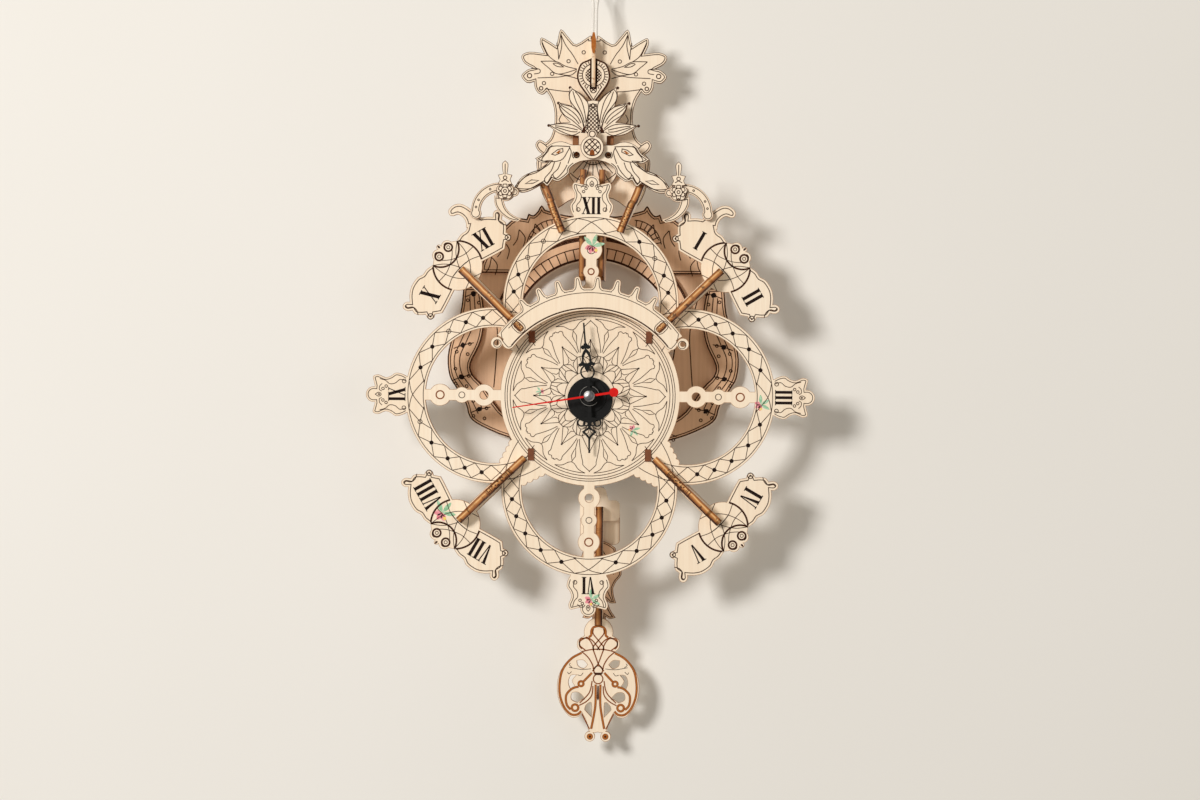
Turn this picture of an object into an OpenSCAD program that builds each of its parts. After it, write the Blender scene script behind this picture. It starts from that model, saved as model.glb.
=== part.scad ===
// Wooden wall clock built up from laser-cut plywood boards, with a quartz movement and a pendulum.
// The origin is the point on the wall where the hook stands that holds the cord's loop.
// +Z is up, the wall is the plane Y = 0 and the clock's face looks along -Y.
// Outlines are drawn as seen from the front, with the hands' axis at X = 0 and height 0.

/* [Boards] */
// Thickness of the plywood
ply = 3; // [2.6:0.1:3.4]
// Clearance of a tenon in its slot, each way
fit_gap = 0.1; // [0.05:0.01:0.2]
// Depth from the wall to the back of the number plates
body_depth = 33; // [32:0.5:36]
// Gap between the dial and the toothed arch in front of it
arch_gap = 6; // [4:0.5:9]
// Gap between the crown's back board and the palmette in front of it
crown_gap = 6; // [4:0.5:7]

/* [Dial and rings] */
// Radius of the round dial
dial_r = 45; // [43:0.5:46.5]
// Inner radius of the four rings
ring_in_r = 34; // [33:0.5:35]
// Outer radius of the four rings
ring_out_r = 44; // [43:0.5:45]
// Distance of the side rings' centres from the hands' axis
ring_side = 48.5; // [47:0.5:50]
// Distance of the top and bottom rings' centres from the hands' axis
ring_up = 46.5; // [45:0.5:48]
// Width of the beaded arms that cross the rings' openings
bead_arm_w = 5.6; // [4:0.2:6.6]
// Radius of the large beads
bead_big_r = 5.5; // [4.6:0.1:6]
// Radius of the small bead
bead_small_r = 4; // [3.4:0.1:4.6]
// Radius of the hole in the inner bead
bead_hole_r = 2.1; // [1.5:0.1:2.6]
// Length of the numeral tabs at 12, 3, 6 and 9
tab_len = 19.8; // [18:0.2:22]

/* [Toothed arch] */
// Radius of the arch's inner edge
arch_in_r = 48.4; // [47.4:0.2:49.4]
// Distance of the inner edge's centre below the hands' axis
arch_in_drop = 5.7; // [4.7:0.1:6.7]
// How much larger the radius at the foot of the arch's teeth is
arch_band = 8.5; // [8:0.1:9.5]
// Distance of the outer edge's centre below the hands' axis
arch_root_drop = 3.1; // [2.5:0.1:4]
// Height of the arch's topmost teeth
arch_tooth_h = 5.8; // [4.8:0.1:6.8]
// Width of a tooth of the arch at its tip
arch_tooth_w = 3; // [2.5:0.1:4]
// Angle from one tooth of the arch to the next
arch_pitch = 10; // [9:0.1:10.4]
// Angle by which the row of teeth sits to the left of upright
arch_turn = 1.3; // [0:0.1:1.5]
// Number of teeth on the arch
arch_teeth = 8; // [4:2:8]
// Angle from upright to each end of the arch
arch_half_angle = 57; // [54:1:60]
// Radius of the eyelet at each end of the arch
eyelet_r = 3; // [2.6:0.1:4]
// Radius of the hole in each eyelet
eyelet_hole_r = 1.25; // [0.8:0.05:1.6]

/* [Number plates and ribs] */
// Distance of the number plates' discs from the hands' axis
number_s = 93.2; // [91:0.2:96]
// Radius of the number plates' discs
number_disc_r = 12.4; // [11.4:0.2:13]
// Angle of the upper ribs above the horizontal
diag_angle = 44; // [43:0.5:46]
// Thickness of the diagonal ribs, the top brackets and the pendulum rod
rib_t = 3.8; // [3:0.1:4]
// Height of the diagonal ribs above the dial board
rib_h = 7.2; // [6:0.2:8]
// Width of the tongue that joins a number plate to the dial board
tongue_w = 5.4; // [4.6:0.2:7]

/* [Back] */
// Radius of the opening in the back board
back_hole_r = 41; // [39:0.5:43]
// Height of the opening's centre above the hands' axis
back_hole_up = 28; // [27:0.5:29]
// Width of the brick ring round the opening
brick_w = 11; // [8:0.5:11.4]
// Distance of the two upright rails from the middle
rail_x = 4.8; // [4.2:0.1:5.4]
// Clearance between the movement's case and each side of its bay
bay_gap = 0.3; // [0.1:0.05:0.6]

/* [Movement] */
// Width of the movement's case
case_w = 55; // [54:0.5:55.2]
// Height of the movement's case
case_h = 56; // [56:0.5:58]
// Depth of the movement's case
case_t = 18; // [17.8:0.1:18.4]
// Wall of the movement's case
case_wall = 1.4; // [1.2:0.05:1.5]
// Radius of the threaded bush
bush_r = 3.9; // [3.7:0.05:4.2]
// Radius of the hour tube
hour_r = 2.55; // [2.5:0.01:2.65]
// Radius of the minute tube
minute_r = 1.75; // [1.7:0.01:1.85]
// Radius of the seconds arbor
second_r = 0.8; // [0.75:0.01:0.9]
// Running clearance of a shaft in its hole
run_gap = 0.05; // [0.03:0.005:0.08]
// Radius of the black washer on the dial
washer_r = 11.3; // [9:0.1:12.5]
// Play of the washer round the bush, by which it hangs low
washer_drop = 1.9; // [0.2:0.1:2.4]
// Thickness of the gear wheels
gear_t = 1; // [0.8:0.1:1.1]
// Room for a spring contact at each end of the battery
contact_room = 1; // [0.7:0.05:1.4]
// Radius of the battery
battery_r = 7.1; // [6.8:0.05:7.15]

/* [Hands] */
// Length of the minute hand
minute_len = 36.6; // [34:0.2:40]
// Length of the hour hand
hour_len = 28.5; // [27:0.1:31]
// Length of the second hand
second_len = 38.8; // [34:0.2:42]
// Thickness of the hands
hand_t = 0.5; // [0.4:0.05:0.7]
// Angle of the minute hand at rest, clockwise from 12
minute_angle = 355; // [0:1:359]
// Angle of the hour hand at rest, clockwise from 12
hour_angle = 180; // [0:1:359]
// Angle of the second hand at rest, clockwise from 12
second_angle = 261; // [0:1:359]

/* [Pendulum] */
// Distance of the pendulum to the right of the middle
pendulum_x = 4.4; // [3:0.1:6]
// Height of the pendulum's pivot above the hands' axis
pivot_up = 23; // [22.4:0.2:24]
// Radius of the pivot pin
pivot_r = 1; // [0.8:0.05:1.2]
// Gap between the pendulum drive and the strip that swings behind it
hanger_gap = 2; // [1:0.1:2.6]
// Half width of the pendulum's two plates
plate_half_w = 10; // [8:0.5:11]
// Half width of the bob
bob_half_w = 20.7; // [20:0.1:23]

/* [Cord] */
// Diameter of one strand of the cord
cord_d = 1.5; // [1.2:0.1:1.6]

/* [Hidden] */
$fn = 64;

// Height of the hook above the hands' axis
hang_drop = 208;
// Colours of the wood, its burnt edge and the metal and plastic pieces
wood = "#f5dfc0";
back_wood = "#dcae86";
burnt = "#b9722f";
black = "#1a1a1a";
steel = "#b9bcc0";
brass = "#c9a14a";
red = "#d8221c";

// Depths of the boards' rear faces from the wall
border_d = ply;
rail_d = border_d + ply;
dial_d = body_depth + ply;
dial_front = dial_d + ply;
arch_d = dial_front + arch_gap;
palmette_d = body_depth - ply;
crown_d = palmette_d - crown_gap - ply;
crown_front_d = crown_d + ply;
rosette_d = dial_d + ply;
rib_top = dial_front + rib_h;

// Places along a diagonal, measured from the hands' axis
ring_gap = norm([ring_side, ring_up]);
ring_cross_s = ring_gap / 2 + sqrt(pow(ring_out_r, 2) - pow(ring_gap / 2, 2));
rib_step_s = ring_cross_s + rib_t / 2 + 0.8;
rib_inner_s = dial_r;
rib_slot_s = dial_r + 7;
rib_slot_len = 5;
rib_outer_s = number_s - 2.5;
number_slot_s = rib_outer_s - 7;
number_slot_len = 4;
arch_root_r = arch_in_r + arch_band;
arch_tip_r = arch_root_r - arch_root_drop + arch_tooth_h;
// Where a line up from the axis at an angle to upright meets a circle that is centred below the axis
function reach(r, drop, a) = sqrt(r * r - pow(drop * sin(a), 2)) - drop * cos(a);
arch_near_s = reach(arch_in_r, arch_in_drop, 90 - diag_angle);
arch_far_s = reach(arch_root_r, arch_root_drop, 90 - diag_angle);
peg_s = (arch_near_s + arch_far_s) / 2;
peg_margin = 2.6;
peg_half_len = max(ply / 2 + 0.1, peg_s - arch_near_s - peg_margin);

// Heights along the rails: foot, tenon, shoulder, crown's lower edge, end of the step and top
rail_foot = back_hole_up + 30;
rail_tenon_h = 9;
rail_shoulder = 79;
rail_crown = 94;
rail_step = 102.8;
rail_top = 113.6;
rail_head = 104;

// The block between the crown's boards: its height above the rails and its own height
spacer_room = 7.4;
spacer_h = 10;

// Foot and lean of the top brackets, and distances along them: neck, head and end
bracket_foot = [14.5, ring_up + 35.5];
bracket_lean = 68;
bracket_neck = 13;
bracket_head = 17;
bracket_len = 28;

// The movement bay's sides, their tenons in the dial board and the arm that reaches back to the border
bay_x = case_w / 2 + bay_gap + ply / 2;
bay_tenon_up = 29.5;
bay_tenon_h = 6;
bay_proud = 0.8;
bay_arm = [-23.4, -14.6];

// Depths in the movement, from the front wall's inner face backwards
case_d = dial_d - case_t;
case_inner_back = case_d + case_wall;
case_inner_front = dial_d - case_wall;
case_lid_t = 8;
case_split_d = dial_d - case_lid_t;
case_corner_r = 3;
hour_wheel_d = case_inner_front - gear_t - 1;
minute_wheel_d = hour_wheel_d - gear_t - 1;
centre_wheel_d = minute_wheel_d - gear_t - 1.6;
third_wheel_d = centre_wheel_d - gear_t - 2;
mesh_extra = 0.4;
bush_end = dial_front + 3.6;
hour_tube_end = bush_end + 2;
minute_tube_end = hour_tube_end + 2.4;
arbor_end = minute_tube_end + 2.6;
hour_hand_d = bush_end + 0.9;
minute_hand_d = hour_tube_end + 0.9;
second_hand_d = minute_tube_end + 0.7;
nut_af = 10;
nut_t = 1.8;
nut_flange_t = 0.6;
washer_t = 1;
battery_len = case_w - 2 * (case_wall + contact_room);
battery_drop = case_h / 2 - case_wall - battery_r - 0.1;
battery_d = (case_inner_back + case_inner_front) / 2;

// Gear teeth: counts and modules, with both pairs of each train at one centre distance
cannon_n = 12;
minute_n = 36;
minute_pinion_n = 10;
hour_n = 40;
motion_m = 0.5;
hour_m = motion_m * (cannon_n + minute_n) / (minute_pinion_n + hour_n);
motion_dist = motion_m * (cannon_n + minute_n) / 2;
motion_dir = 10;
second_pinion_n = 8;
third_n = 60;
third_pinion_n = 8;
centre_n = 64;
second_m = 0.36;
centre_m = second_m * (second_pinion_n + third_n) / (third_pinion_n + centre_n);
third_dist = second_m * (second_pinion_n + third_n) / 2;
third_dir = 100;
set_n = 18;
set_dist = motion_m * (set_n + minute_n) / 2;
set_dir = 60;
minute_at = motion_dist * [cos(motion_dir), sin(motion_dir)];
third_at = third_dist * [cos(third_dir), sin(third_dir)];
set_at = minute_at + set_dist * [cos(set_dir), sin(set_dir)];
arbor_r = 0.7;
post_r = 0.75;
set_shaft_r = 1.2;
set_knob_r = 4.8;

// Depths of the pendulum's pieces
drive_w = 16;
drive_h = 9;
drive_t = 5;
hanger_t = 1.2;
hanger_w = 3.6;
hanger_d = case_d - drive_t - hanger_gap - hanger_t;
upper_plate_d = hanger_d + hanger_t;
lower_plate_d = upper_plate_d - ply;
bob_d = upper_plate_d + ply;
rod_h = 5.6;
upper_plate_top = 52.6;
upper_plate_h = 10.4;
lower_plate_bottom = 75;
rod_top = 55.8;
leaf_lap = 6.3;
bob_top = 111.7;
bob_h = 62.5;
bob_disc_r = 7.35;

// A smooth curve through points [x, y, sharp], with a corner where sharp is 1
function at(p, i) = p[(i + len(p)) % len(p)];
function xy(p) = [p[0], p[1]];
function bend(a, b, c, d, t) = 0.5 * (2 * b + (c - a) * t + (2 * a - 5 * b + 4 * c - d) * t * t
    + (3 * b - a - 3 * c + d) * t * t * t);
function is_sharp(p) = len(p) > 2 && p[2] == 1;
function smooth(p, steps) = [for (i = [0:len(p) - 1]) let (
    b = xy(at(p, i)), c = xy(at(p, i + 1)),
    a = is_sharp(at(p, i)) ? b : xy(at(p, i - 1)), d = is_sharp(at(p, i + 1)) ? c : xy(at(p, i + 2)),
    last = is_sharp(at(p, i)) && is_sharp(at(p, i + 1)) ? 0 : steps - 1)
    for (k = [0:last]) bend(a, b, c, d, k / steps)];
// An outline with its points in the order that runs round to the left, and one mirrored in the middle line
function turned(p) = [for (i = [0:len(p) - 1]) at(p, i)[0] * at(p, i + 1)[1] - at(p, i)[1] * at(p, i + 1)[0]]
    * [for (q = p) 1] < 0 ? [for (i = [len(p) - 1:-1:0]) p[i]] : p;
function flip(p, x = -1, y = 1) = [for (q = p) [x * q[0], y * q[1], q[2]]];
// A half outline from the middle line round to the middle line, with its mirror image added
function both(h) = concat(h, [for (i = [len(h) - 1:-1:0]) if (h[i][0] > 0) [-h[i][0], h[i][1], h[i][2]]]);

// A board that faces the front, with its rear face at depth d
module board(d, t = ply) {
    translate([0, -d, -hang_drop]) rotate([90, 0, 0]) linear_extrude(t) children();
}
// A board seen edge on: its outline is drawn as [distance along its lean, depth]
module edge_board(foot, lean, t, outline) {
    translate([foot[0], 0, foot[1] - hang_drop]) rotate([0, -lean, 0]) translate([0, 0, -t / 2])
        linear_extrude(t) mirror([0, 1]) polygon(outline);
}
// A round bar along the depth, from depth d to depth e
module bar(r, d, e, where = [0, 0]) {
    translate([where[0], -d, where[1] - hang_drop]) rotate([90, 0, 0]) cylinder(r = r, h = e - d);
}
// A hole along the depth, cut past both of its ends
module bore(r, d, e, where = [0, 0]) bar(r, d - 1, e + 1, where);
module outline(p) polygon([for (q = turned(p)) xy(q)]);
module smooth_shape(h, steps = 3) outline(smooth(both(h), steps));
module pair() {
    children();
    mirror([1, 0]) children();
}
// Round pieces at a place and at its mirror image
module twins(where, r) for (x = [-1, 1]) translate([x * where[0], where[1]])
    circle(r = r, $fn = r < 3 ? 32 : 64);

// Back
back_half = [[0, 84], [20, 80], [40, 71], [57, 65], [65, 60], [66.3, 53], [67.5, 42], [71.5, 30],
    [73.8, 19.3], [72.8, 9.7], [69.6, 4], [64.5, -4.3], [62.3, -11.3], [56.2, -15.8], [41.9, -21.5],
    [22, -25.6], [0, -27]];
border_inner = [[0, -17.5], [22, -16.5], [38, -13], [47, -7.5], [55.6, 4.6], [61, 10.4], [62, 16],
    [57.8, 25], [55.8, 33], [55.6, 44], [57.5, 55]];
function back_outer() = [for (i = [5:len(back_half) - 1]) back_half[i]];
module hole_circle(r) translate([0, back_hole_up]) circle(r = r, $fn = 96);

module back_plate() color(back_wood) board(0) difference() {
    smooth_shape(back_half);
    hole_circle(back_hole_r);
}
module back_border() color(back_wood) board(border_d) difference() {
    smooth_shape(concat([[0, 55, 1], [66.3, 55, 1]], back_outer()));
    smooth_shape(concat([[0, 60, 1], [57.5, 60, 1]],
        [for (i = [len(border_inner) - 1:-1:0]) border_inner[i]]));
}
module brick_ring() color(back_wood) board(border_d) intersection() {
    difference() {
        hole_circle(back_hole_r + brick_w);
        hole_circle(back_hole_r);
    }
    translate([-dial_r * 2, back_hole_up + 13]) square([dial_r * 4, dial_r * 2]);
}
scallop_half = [[0, 92], [11, 91], [21, 93], [25, 94.2, 1], [26.8, 96.4], [28.6, 93.6, 1], [30.8, 91.4],
    [33.4, 92.2, 1], [34.4, 89.4, 1], [40.5, 89.6], [47, 83.5], [52, 76], [56.6, 67], [57, 62, 1],
    [0, 62, 1]];
module scalloped_board() color(back_wood) board(border_d) difference() {
    smooth_shape(scallop_half);
    hole_circle(back_hole_r + brick_w + fit_gap);
}
module rail(side) color(burnt) edge_board([side * rail_x, 0], 90, ply, [[rail_foot, rail_d + ply],
    [rail_foot + rail_tenon_h, rail_d + ply], [rail_foot + rail_tenon_h, rail_d], [rail_shoulder, rail_d],
    [rail_shoulder, rail_d + 2 * ply], [rail_crown, rail_d + 4 * ply], [rail_crown, crown_front_d],
    [rail_step, crown_front_d], [rail_step, crown_front_d + ply], [rail_top, crown_front_d + ply],
    [rail_top, body_depth - 1], [rail_head, body_depth], [rail_head - 0.6, dial_d], [rail_foot + 2, dial_d],
    [rail_foot, dial_d - 2]]);
module rail_left() rail(-1);
module rail_right() rail(1);
module bay_side(side) {
    end = bay_tenon_up + bay_tenon_h / 2;
    start = bay_tenon_up - bay_tenon_h / 2;
    proud = dial_front + bay_proud;
    color(burnt) edge_board([side * bay_x, 0], 90, ply, [[-end, dial_d], [-end, proud], [-start, proud],
        [-start, dial_d], [start, dial_d], [start, proud], [end, proud], [end, case_d],
        [end - ply, case_d - ply], [bay_arm[1] + 4.6, case_d - ply], [bay_arm[1], rail_d],
        [bay_arm[0], rail_d], [bay_arm[0] - 2.6, case_d - ply], [-end, case_d]]);
}
module bay_side_left() bay_side(-1);
module bay_side_right() bay_side(1);

// Crown
crown_half = [[0, 179.6, 1], [1.7, 179.6, 1], [2.1, 181.2], [8.9, 176.9], [12.4, 179.6], [16.9, 184.4],
    [18.6, 178], [19.3, 176, 1], [23, 178.4], [26.7, 180.1], [27.3, 177], [25.2, 172.2, 1], [32.7, 172.9],
    [36.6, 170.9], [35.1, 167.2], [30.4, 164.6, 1], [33.4, 164], [36.6, 160.8], [33.8, 157.4],
    [30.2, 158, 1], [29.8, 155], [28.2, 152.3], [25.7, 151.6], [23.8, 153.2, 1], [21.3, 149], [19.9, 144],
    [19.6, 138.6], [20.2, 134], [21.7, 129.6], [24.1, 127.2, 1], [27.2, 128.7], [29.2, 126.3], [28, 123.4],
    [25.9, 121.6, 1], [28.5, 118.5], [28.2, 113], [26.5, 104], [23.5, 97.4], [20.5, 94.6], [17.3, 94.6],
    [10.2, 99.1], [0, 101]];
module crown_back() color(wood) board(crown_d) smooth_shape(crown_half);
palmette_half = [[0, 148.4, 1], [3.2, 147.8, 1], [6.6, 151.4], [11.5, 154.8, 1], [12.3, 150.6],
    [10.9, 145.4, 1], [14, 146.4], [17.4, 147, 1], [16.3, 142.4], [11.6, 137.2, 1], [17, 136.8],
    [22.4, 135.5, 1], [17.4, 131.8], [12.4, 130.4, 1], [7.2, 130.2, 1], [7.2, 119, 1], [0, 119, 1]];
module crown_front() color(wood) board(palmette_d) smooth_shape(palmette_half);
bulb_up = 161;
bulb_r = 8.4;
spine_t = 1.8;
bulb_half = [[0, bulb_up + bulb_r + 0.6, 1], [3.2, bulb_up + bulb_r - 0.9], [6.6, bulb_up + 5.6],
    [bulb_r, bulb_up], [7.3, bulb_up - 4.6], [3.8, bulb_up - 9.6], [0, bulb_up - 14.6, 1]];
module crown_bulb() color(wood) board(crown_front_d + ply) difference() {
    smooth_shape(bulb_half);
    translate([-spine_t / 2 - fit_gap, bulb_up - 6]) square([spine_t + 2 * fit_gap, bulb_r * 2 + 6]);
}
module crown_spine() color(burnt) edge_board([0, 0], 90, spine_t, [[bulb_up - 6, crown_front_d],
    [bulb_up + 17.8, crown_front_d], [bulb_up + 18.4, crown_front_d + 3],
    [bulb_up + 12, crown_front_d + 6.4], [bulb_up + 9, crown_front_d + 8],
    [bulb_up - 4, crown_front_d + 8], [bulb_up - 6, crown_front_d + 6]]);
module crown_spacer() color(burnt) board(crown_front_d, crown_gap)
    translate([-10.2, rail_top + spacer_room]) square([20.4, spacer_h]);
module pineapple_ring() color(wood) board(body_depth + ply) {
    translate([0, 124.4]) circle(r = 5.8);
    translate([0, 131]) circle(r = 2.4);
    translate([-1.6, 127]) square([3.2, 4]);
}
module keystone_fan() color(wood) board(crown_front_d) intersection() {
    translate([0, 116]) circle(r = 13);
    translate([-20, 100]) square([40, 20.8]);
}
swag_half = [[0, 126], [8.3, 125.7], [10.8, 125.9], [15, 127.3], [19.3, 126.7], [22.6, 124.6],
    [24.6, 121.4], [28.7, 118.7, 1], [25.2, 116.5], [21.6, 117, 1], [24.6, 114.9], [28.3, 112.5],
    [32.6, 111], [36.2, 108.4], [39.2, 103.6, 1], [35.6, 101.6], [30.8, 102.7], [24.3, 106.4, 1],
    [22.3, 105], [19.9, 108.2, 1], [17.2, 107.3], [14.2, 109], [11.6, 111.4, 1], [11, 114.2],
    [6.4, 117.2], [0, 118]];
module swag_plate() color(wood) board(body_depth) difference() {
    smooth_shape(swag_half);
    twins([7.9, 120.6], 1.2);
}
module top_bracket(side) {
    lean = side > 0 ? bracket_lean : 180 - bracket_lean;
    color(burnt) edge_board([side * bracket_foot[0], bracket_foot[1]], lean, rib_t, [[0, dial_front],
        [bracket_neck / 2, dial_front], [bracket_neck / 2 + 1, dial_front - 4],
        [bracket_neck, crown_front_d], [bracket_len, crown_front_d], [bracket_len, body_depth],
        [bracket_head, body_depth],
        [bracket_head - 1.6, rib_top - 3], [bracket_neck, rib_top - 1.4], [3, rib_top - 1.4],
        [2.4, rib_top - 2.6], [0, rib_top - 3]]);
}
module top_bracket_left() top_bracket(-1);
module top_bracket_right() top_bracket(1);
scroll_at = [46, 92];
scroll_r = 12.1;
scroll_w = 4.6;
rosette_at = [43.4, 102.2];
scroll_stem = [[48.8, 100, 1], [48.6, 96], [47, 92.6], [44.6, 90], [41.2, 87.8], [37, 86.8, 1], [35, 88.4, 1],
    [38.3, 89.6], [41.4, 91.8], [43.4, 94.6], [44.4, 98, 1]];
module scroll_2d() {
    intersection() {
        translate(scroll_at) difference() {
            circle(r = scroll_r + scroll_w / 2);
            circle(r = scroll_r - scroll_w / 2);
        }
        translate(scroll_at - [0, 1.6]) square(scroll_r * 2);
    }
    translate(scroll_at + [scroll_r, -1]) circle(r = scroll_w / 2 + 0.5);
    translate(rosette_at) circle(r = 5);
    translate(rosette_at - [4.6, 0.4]) circle(r = 2.2);
    outline(smooth(scroll_stem, 3));
}
module scroll_plate_left() color(wood) board(dial_d) mirror([1, 0]) scroll_2d();
module scroll_plate_right() color(wood) board(dial_d) scroll_2d();
finial_half = [[0, 15.2, 1], [1.5, 13.6], [1.3, 10.4], [1, 8.6, 1], [3.6, 8, 1], [2.6, 5.6, 1],
    [3.6, 3.4, 1], [0, 3, 1]];
module rosette_2d() translate(rosette_at) {
    for (a = [0:72:359]) rotate(a + 90) translate([2.6, 0]) circle(r = 1.9, $fn = 24);
    circle(r = 3);
    smooth_shape(finial_half);
}
module rosette_left() color(wood) board(rosette_d, ply / 2) mirror([1, 0]) rosette_2d();
module rosette_right() color(wood) board(rosette_d, ply / 2) rosette_2d();

// Dial board with its four rings
tab_half = [[0, 17.6], [3.4, 15.4], [6.2, 15.8], [8.9, 16.3], [9.9, 13.8], [8.5, 10.2], [9.2, 7.4],
    [10.8, 4.9], [10.3, 1.8], [9.1, -0.6, 1], [8.6, -4, 1], [0, -4, 1]];
bead_offsets = [4.6, 15.7, 26.6];
// One ring with its beaded arm and numeral tab, drawn upwards, with its centre at the given distance
module ring_2d(out) {
    translate([0, out]) difference() {
        circle(r = ring_out_r, $fn = 96);
        circle(r = ring_in_r, $fn = 96);
    }
    translate([-bead_arm_w / 2, dial_r - 2]) square([bead_arm_w, out + ring_in_r - dial_r + 4]);
    for (i = [0:2]) translate([0, out + bead_offsets[i]]) circle(r = i == 1 ? bead_small_r : bead_big_r);
    translate([0, out + ring_out_r]) {
        smooth_shape([for (p = tab_half) [p[0], p[1] * tab_len / 19.8, p[2]]]);
        translate([0, tab_len - 3.9]) circle(r = 3.9);
    }
}
web_start = [22.2, 38.9];
web_end = [34, 44.9];
module web_2d(x, y) {
    outline(flip([[14, 36], web_start, web_end, [40, 45], [45, 40], [web_end[1], web_end[0]],
        [web_start[1], web_start[0]], [36, 14]], x, y));
    for (k = [0:3]) let (p = web_start + (web_end - web_start) * (k + 0.5) / 4) {
        translate([x * (p[0] + 0.4), y * (p[1] - 0.9)]) circle(r = 1.9, $fn = 24);
        translate([x * (p[1] - 0.9), y * (p[0] + 0.4)]) circle(r = 1.9, $fn = 24);
    }
}
module slot_2d(s, length, w) translate([s, -w / 2 - fit_gap]) square([length, w + 2 * fit_gap]);
module quatrefoil_plate() color(wood) board(dial_d) difference() {
    union() {
        circle(r = dial_r, $fn = 120);
        for (a = [0, 180]) rotate(a) ring_2d(ring_up);
        for (a = [90, -90]) rotate(a) ring_2d(ring_side);
        for (x = [-1, 1], y = [-1, 1]) web_2d(x, y);
    }
    circle(r = bush_r + 0.3);
    for (a = [0, 180]) rotate(a) translate([0, ring_up + bead_offsets[0]]) circle(r = bead_hole_r);
    for (a = [90, -90]) rotate(a) translate([0, ring_side + bead_offsets[0]]) circle(r = bead_hole_r);
    for (x = [-1, 1], y = [-1, 1]) {
        translate([x * bay_x, y * bay_tenon_up])
            square([ply + 2 * fit_gap, bay_tenon_h + 2 * fit_gap], center = true);
        rotate(atan2(y * sin(diag_angle), x * cos(diag_angle)))
            slot_2d(rib_slot_s - fit_gap, rib_slot_len + 2 * fit_gap, rib_t);
    }
}
module peg_2d(gap) {
    twins([peg_half_len - ply / 2, 0], ply / 2 + gap);
    square([2 * peg_half_len - ply, ply + 2 * gap], center = true);
}
function upright(s, a) = s * [sin(a), cos(a)];
foot_r = 3.2;
foot_at = upright(reach(arch_in_r, arch_in_drop, arch_half_angle) + foot_r, arch_half_angle);
eyelet_at = upright(reach(arch_root_r, arch_root_drop, arch_half_angle + 3.6) - 2, arch_half_angle + 3.6);
module arch_tooth(foot) {
    w = arch_tooth_w;
    right = [[w / 4, arch_tip_r], [w / 2, arch_tip_r - 1.2], [w * 0.68, foot + 1.1], [w, foot, 1],
        [w, foot - 1, 1]];
    outline(smooth(concat([for (k = [len(right) - 1:-1:0]) flip([right[k]], -1)[0]], right), 3));
}
module toothed_arch() color(wood) board(arch_d) difference() {
    union() {
        intersection() {
            translate([0, -arch_root_drop]) circle(r = arch_root_r, $fn = 120);
            outline([[0, 0], for (k = [-1:1]) upright(90, k * arch_half_angle)]);
        }
        for (k = [0:arch_teeth - 1]) let (a = (k - (arch_teeth - 1) / 2) * arch_pitch - arch_turn)
            rotate(-a) arch_tooth(reach(arch_root_r, arch_root_drop, a) - 0.1);
        twins(eyelet_at, eyelet_r);
        twins(foot_at, foot_r);
    }
    translate([0, -arch_in_drop]) circle(r = arch_in_r, $fn = 120);
    twins(eyelet_at, eyelet_hole_r);
    pair() rotate(diag_angle) translate([peg_s, 0]) peg_2d(fit_gap);
}

// Diagonal ribs
function rib_tail() = [[rib_outer_s - 8, rib_top - 0.6], [rib_outer_s - 6.5, rib_top - 2.6],
    [rib_outer_s - 1.6, rib_top - 3], [rib_outer_s, rib_top - 5], [rib_outer_s, dial_d],
    [number_slot_s + number_slot_len, dial_d], [number_slot_s + number_slot_len, body_depth],
    [number_slot_s, body_depth], [number_slot_s, dial_d], [rib_step_s, dial_d], [rib_step_s, dial_front],
    [rib_slot_s + rib_slot_len, dial_front], [rib_slot_s + rib_slot_len, dial_d], [rib_slot_s, dial_d],
    [rib_slot_s, dial_front]];
module lower_rib(angle) color(burnt) edge_board([0, 0], angle, rib_t, concat([[rib_inner_s, dial_front],
    [rib_inner_s, dial_front + 2.6], [rib_inner_s + 2, dial_front + 4], [rib_inner_s + 9, dial_front + 4],
    [rib_inner_s + 10, rib_top - 1], [rib_inner_s + 25, rib_top]], rib_tail()));
module upper_rib(angle) color(burnt) {
    edge_board([0, 0], angle, rib_t, concat([[arch_near_s + 1, dial_front], [arch_near_s + 1, arch_d],
        [arch_far_s + 0.7, arch_d], [arch_far_s + 1.4, max(rib_top - 0.6, arch_d)],
        [arch_far_s + 15, rib_top]], rib_tail()));
    board(arch_d - 1, ply + 1.2) rotate(angle) translate([peg_s, 0]) peg_2d(0);
}
module rib_upper_left() upper_rib(180 - diag_angle);
module rib_upper_right() upper_rib(diag_angle);
module rib_lower_left() lower_rib(180 + diag_angle);
module rib_lower_right() lower_rib(-diag_angle);

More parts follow.
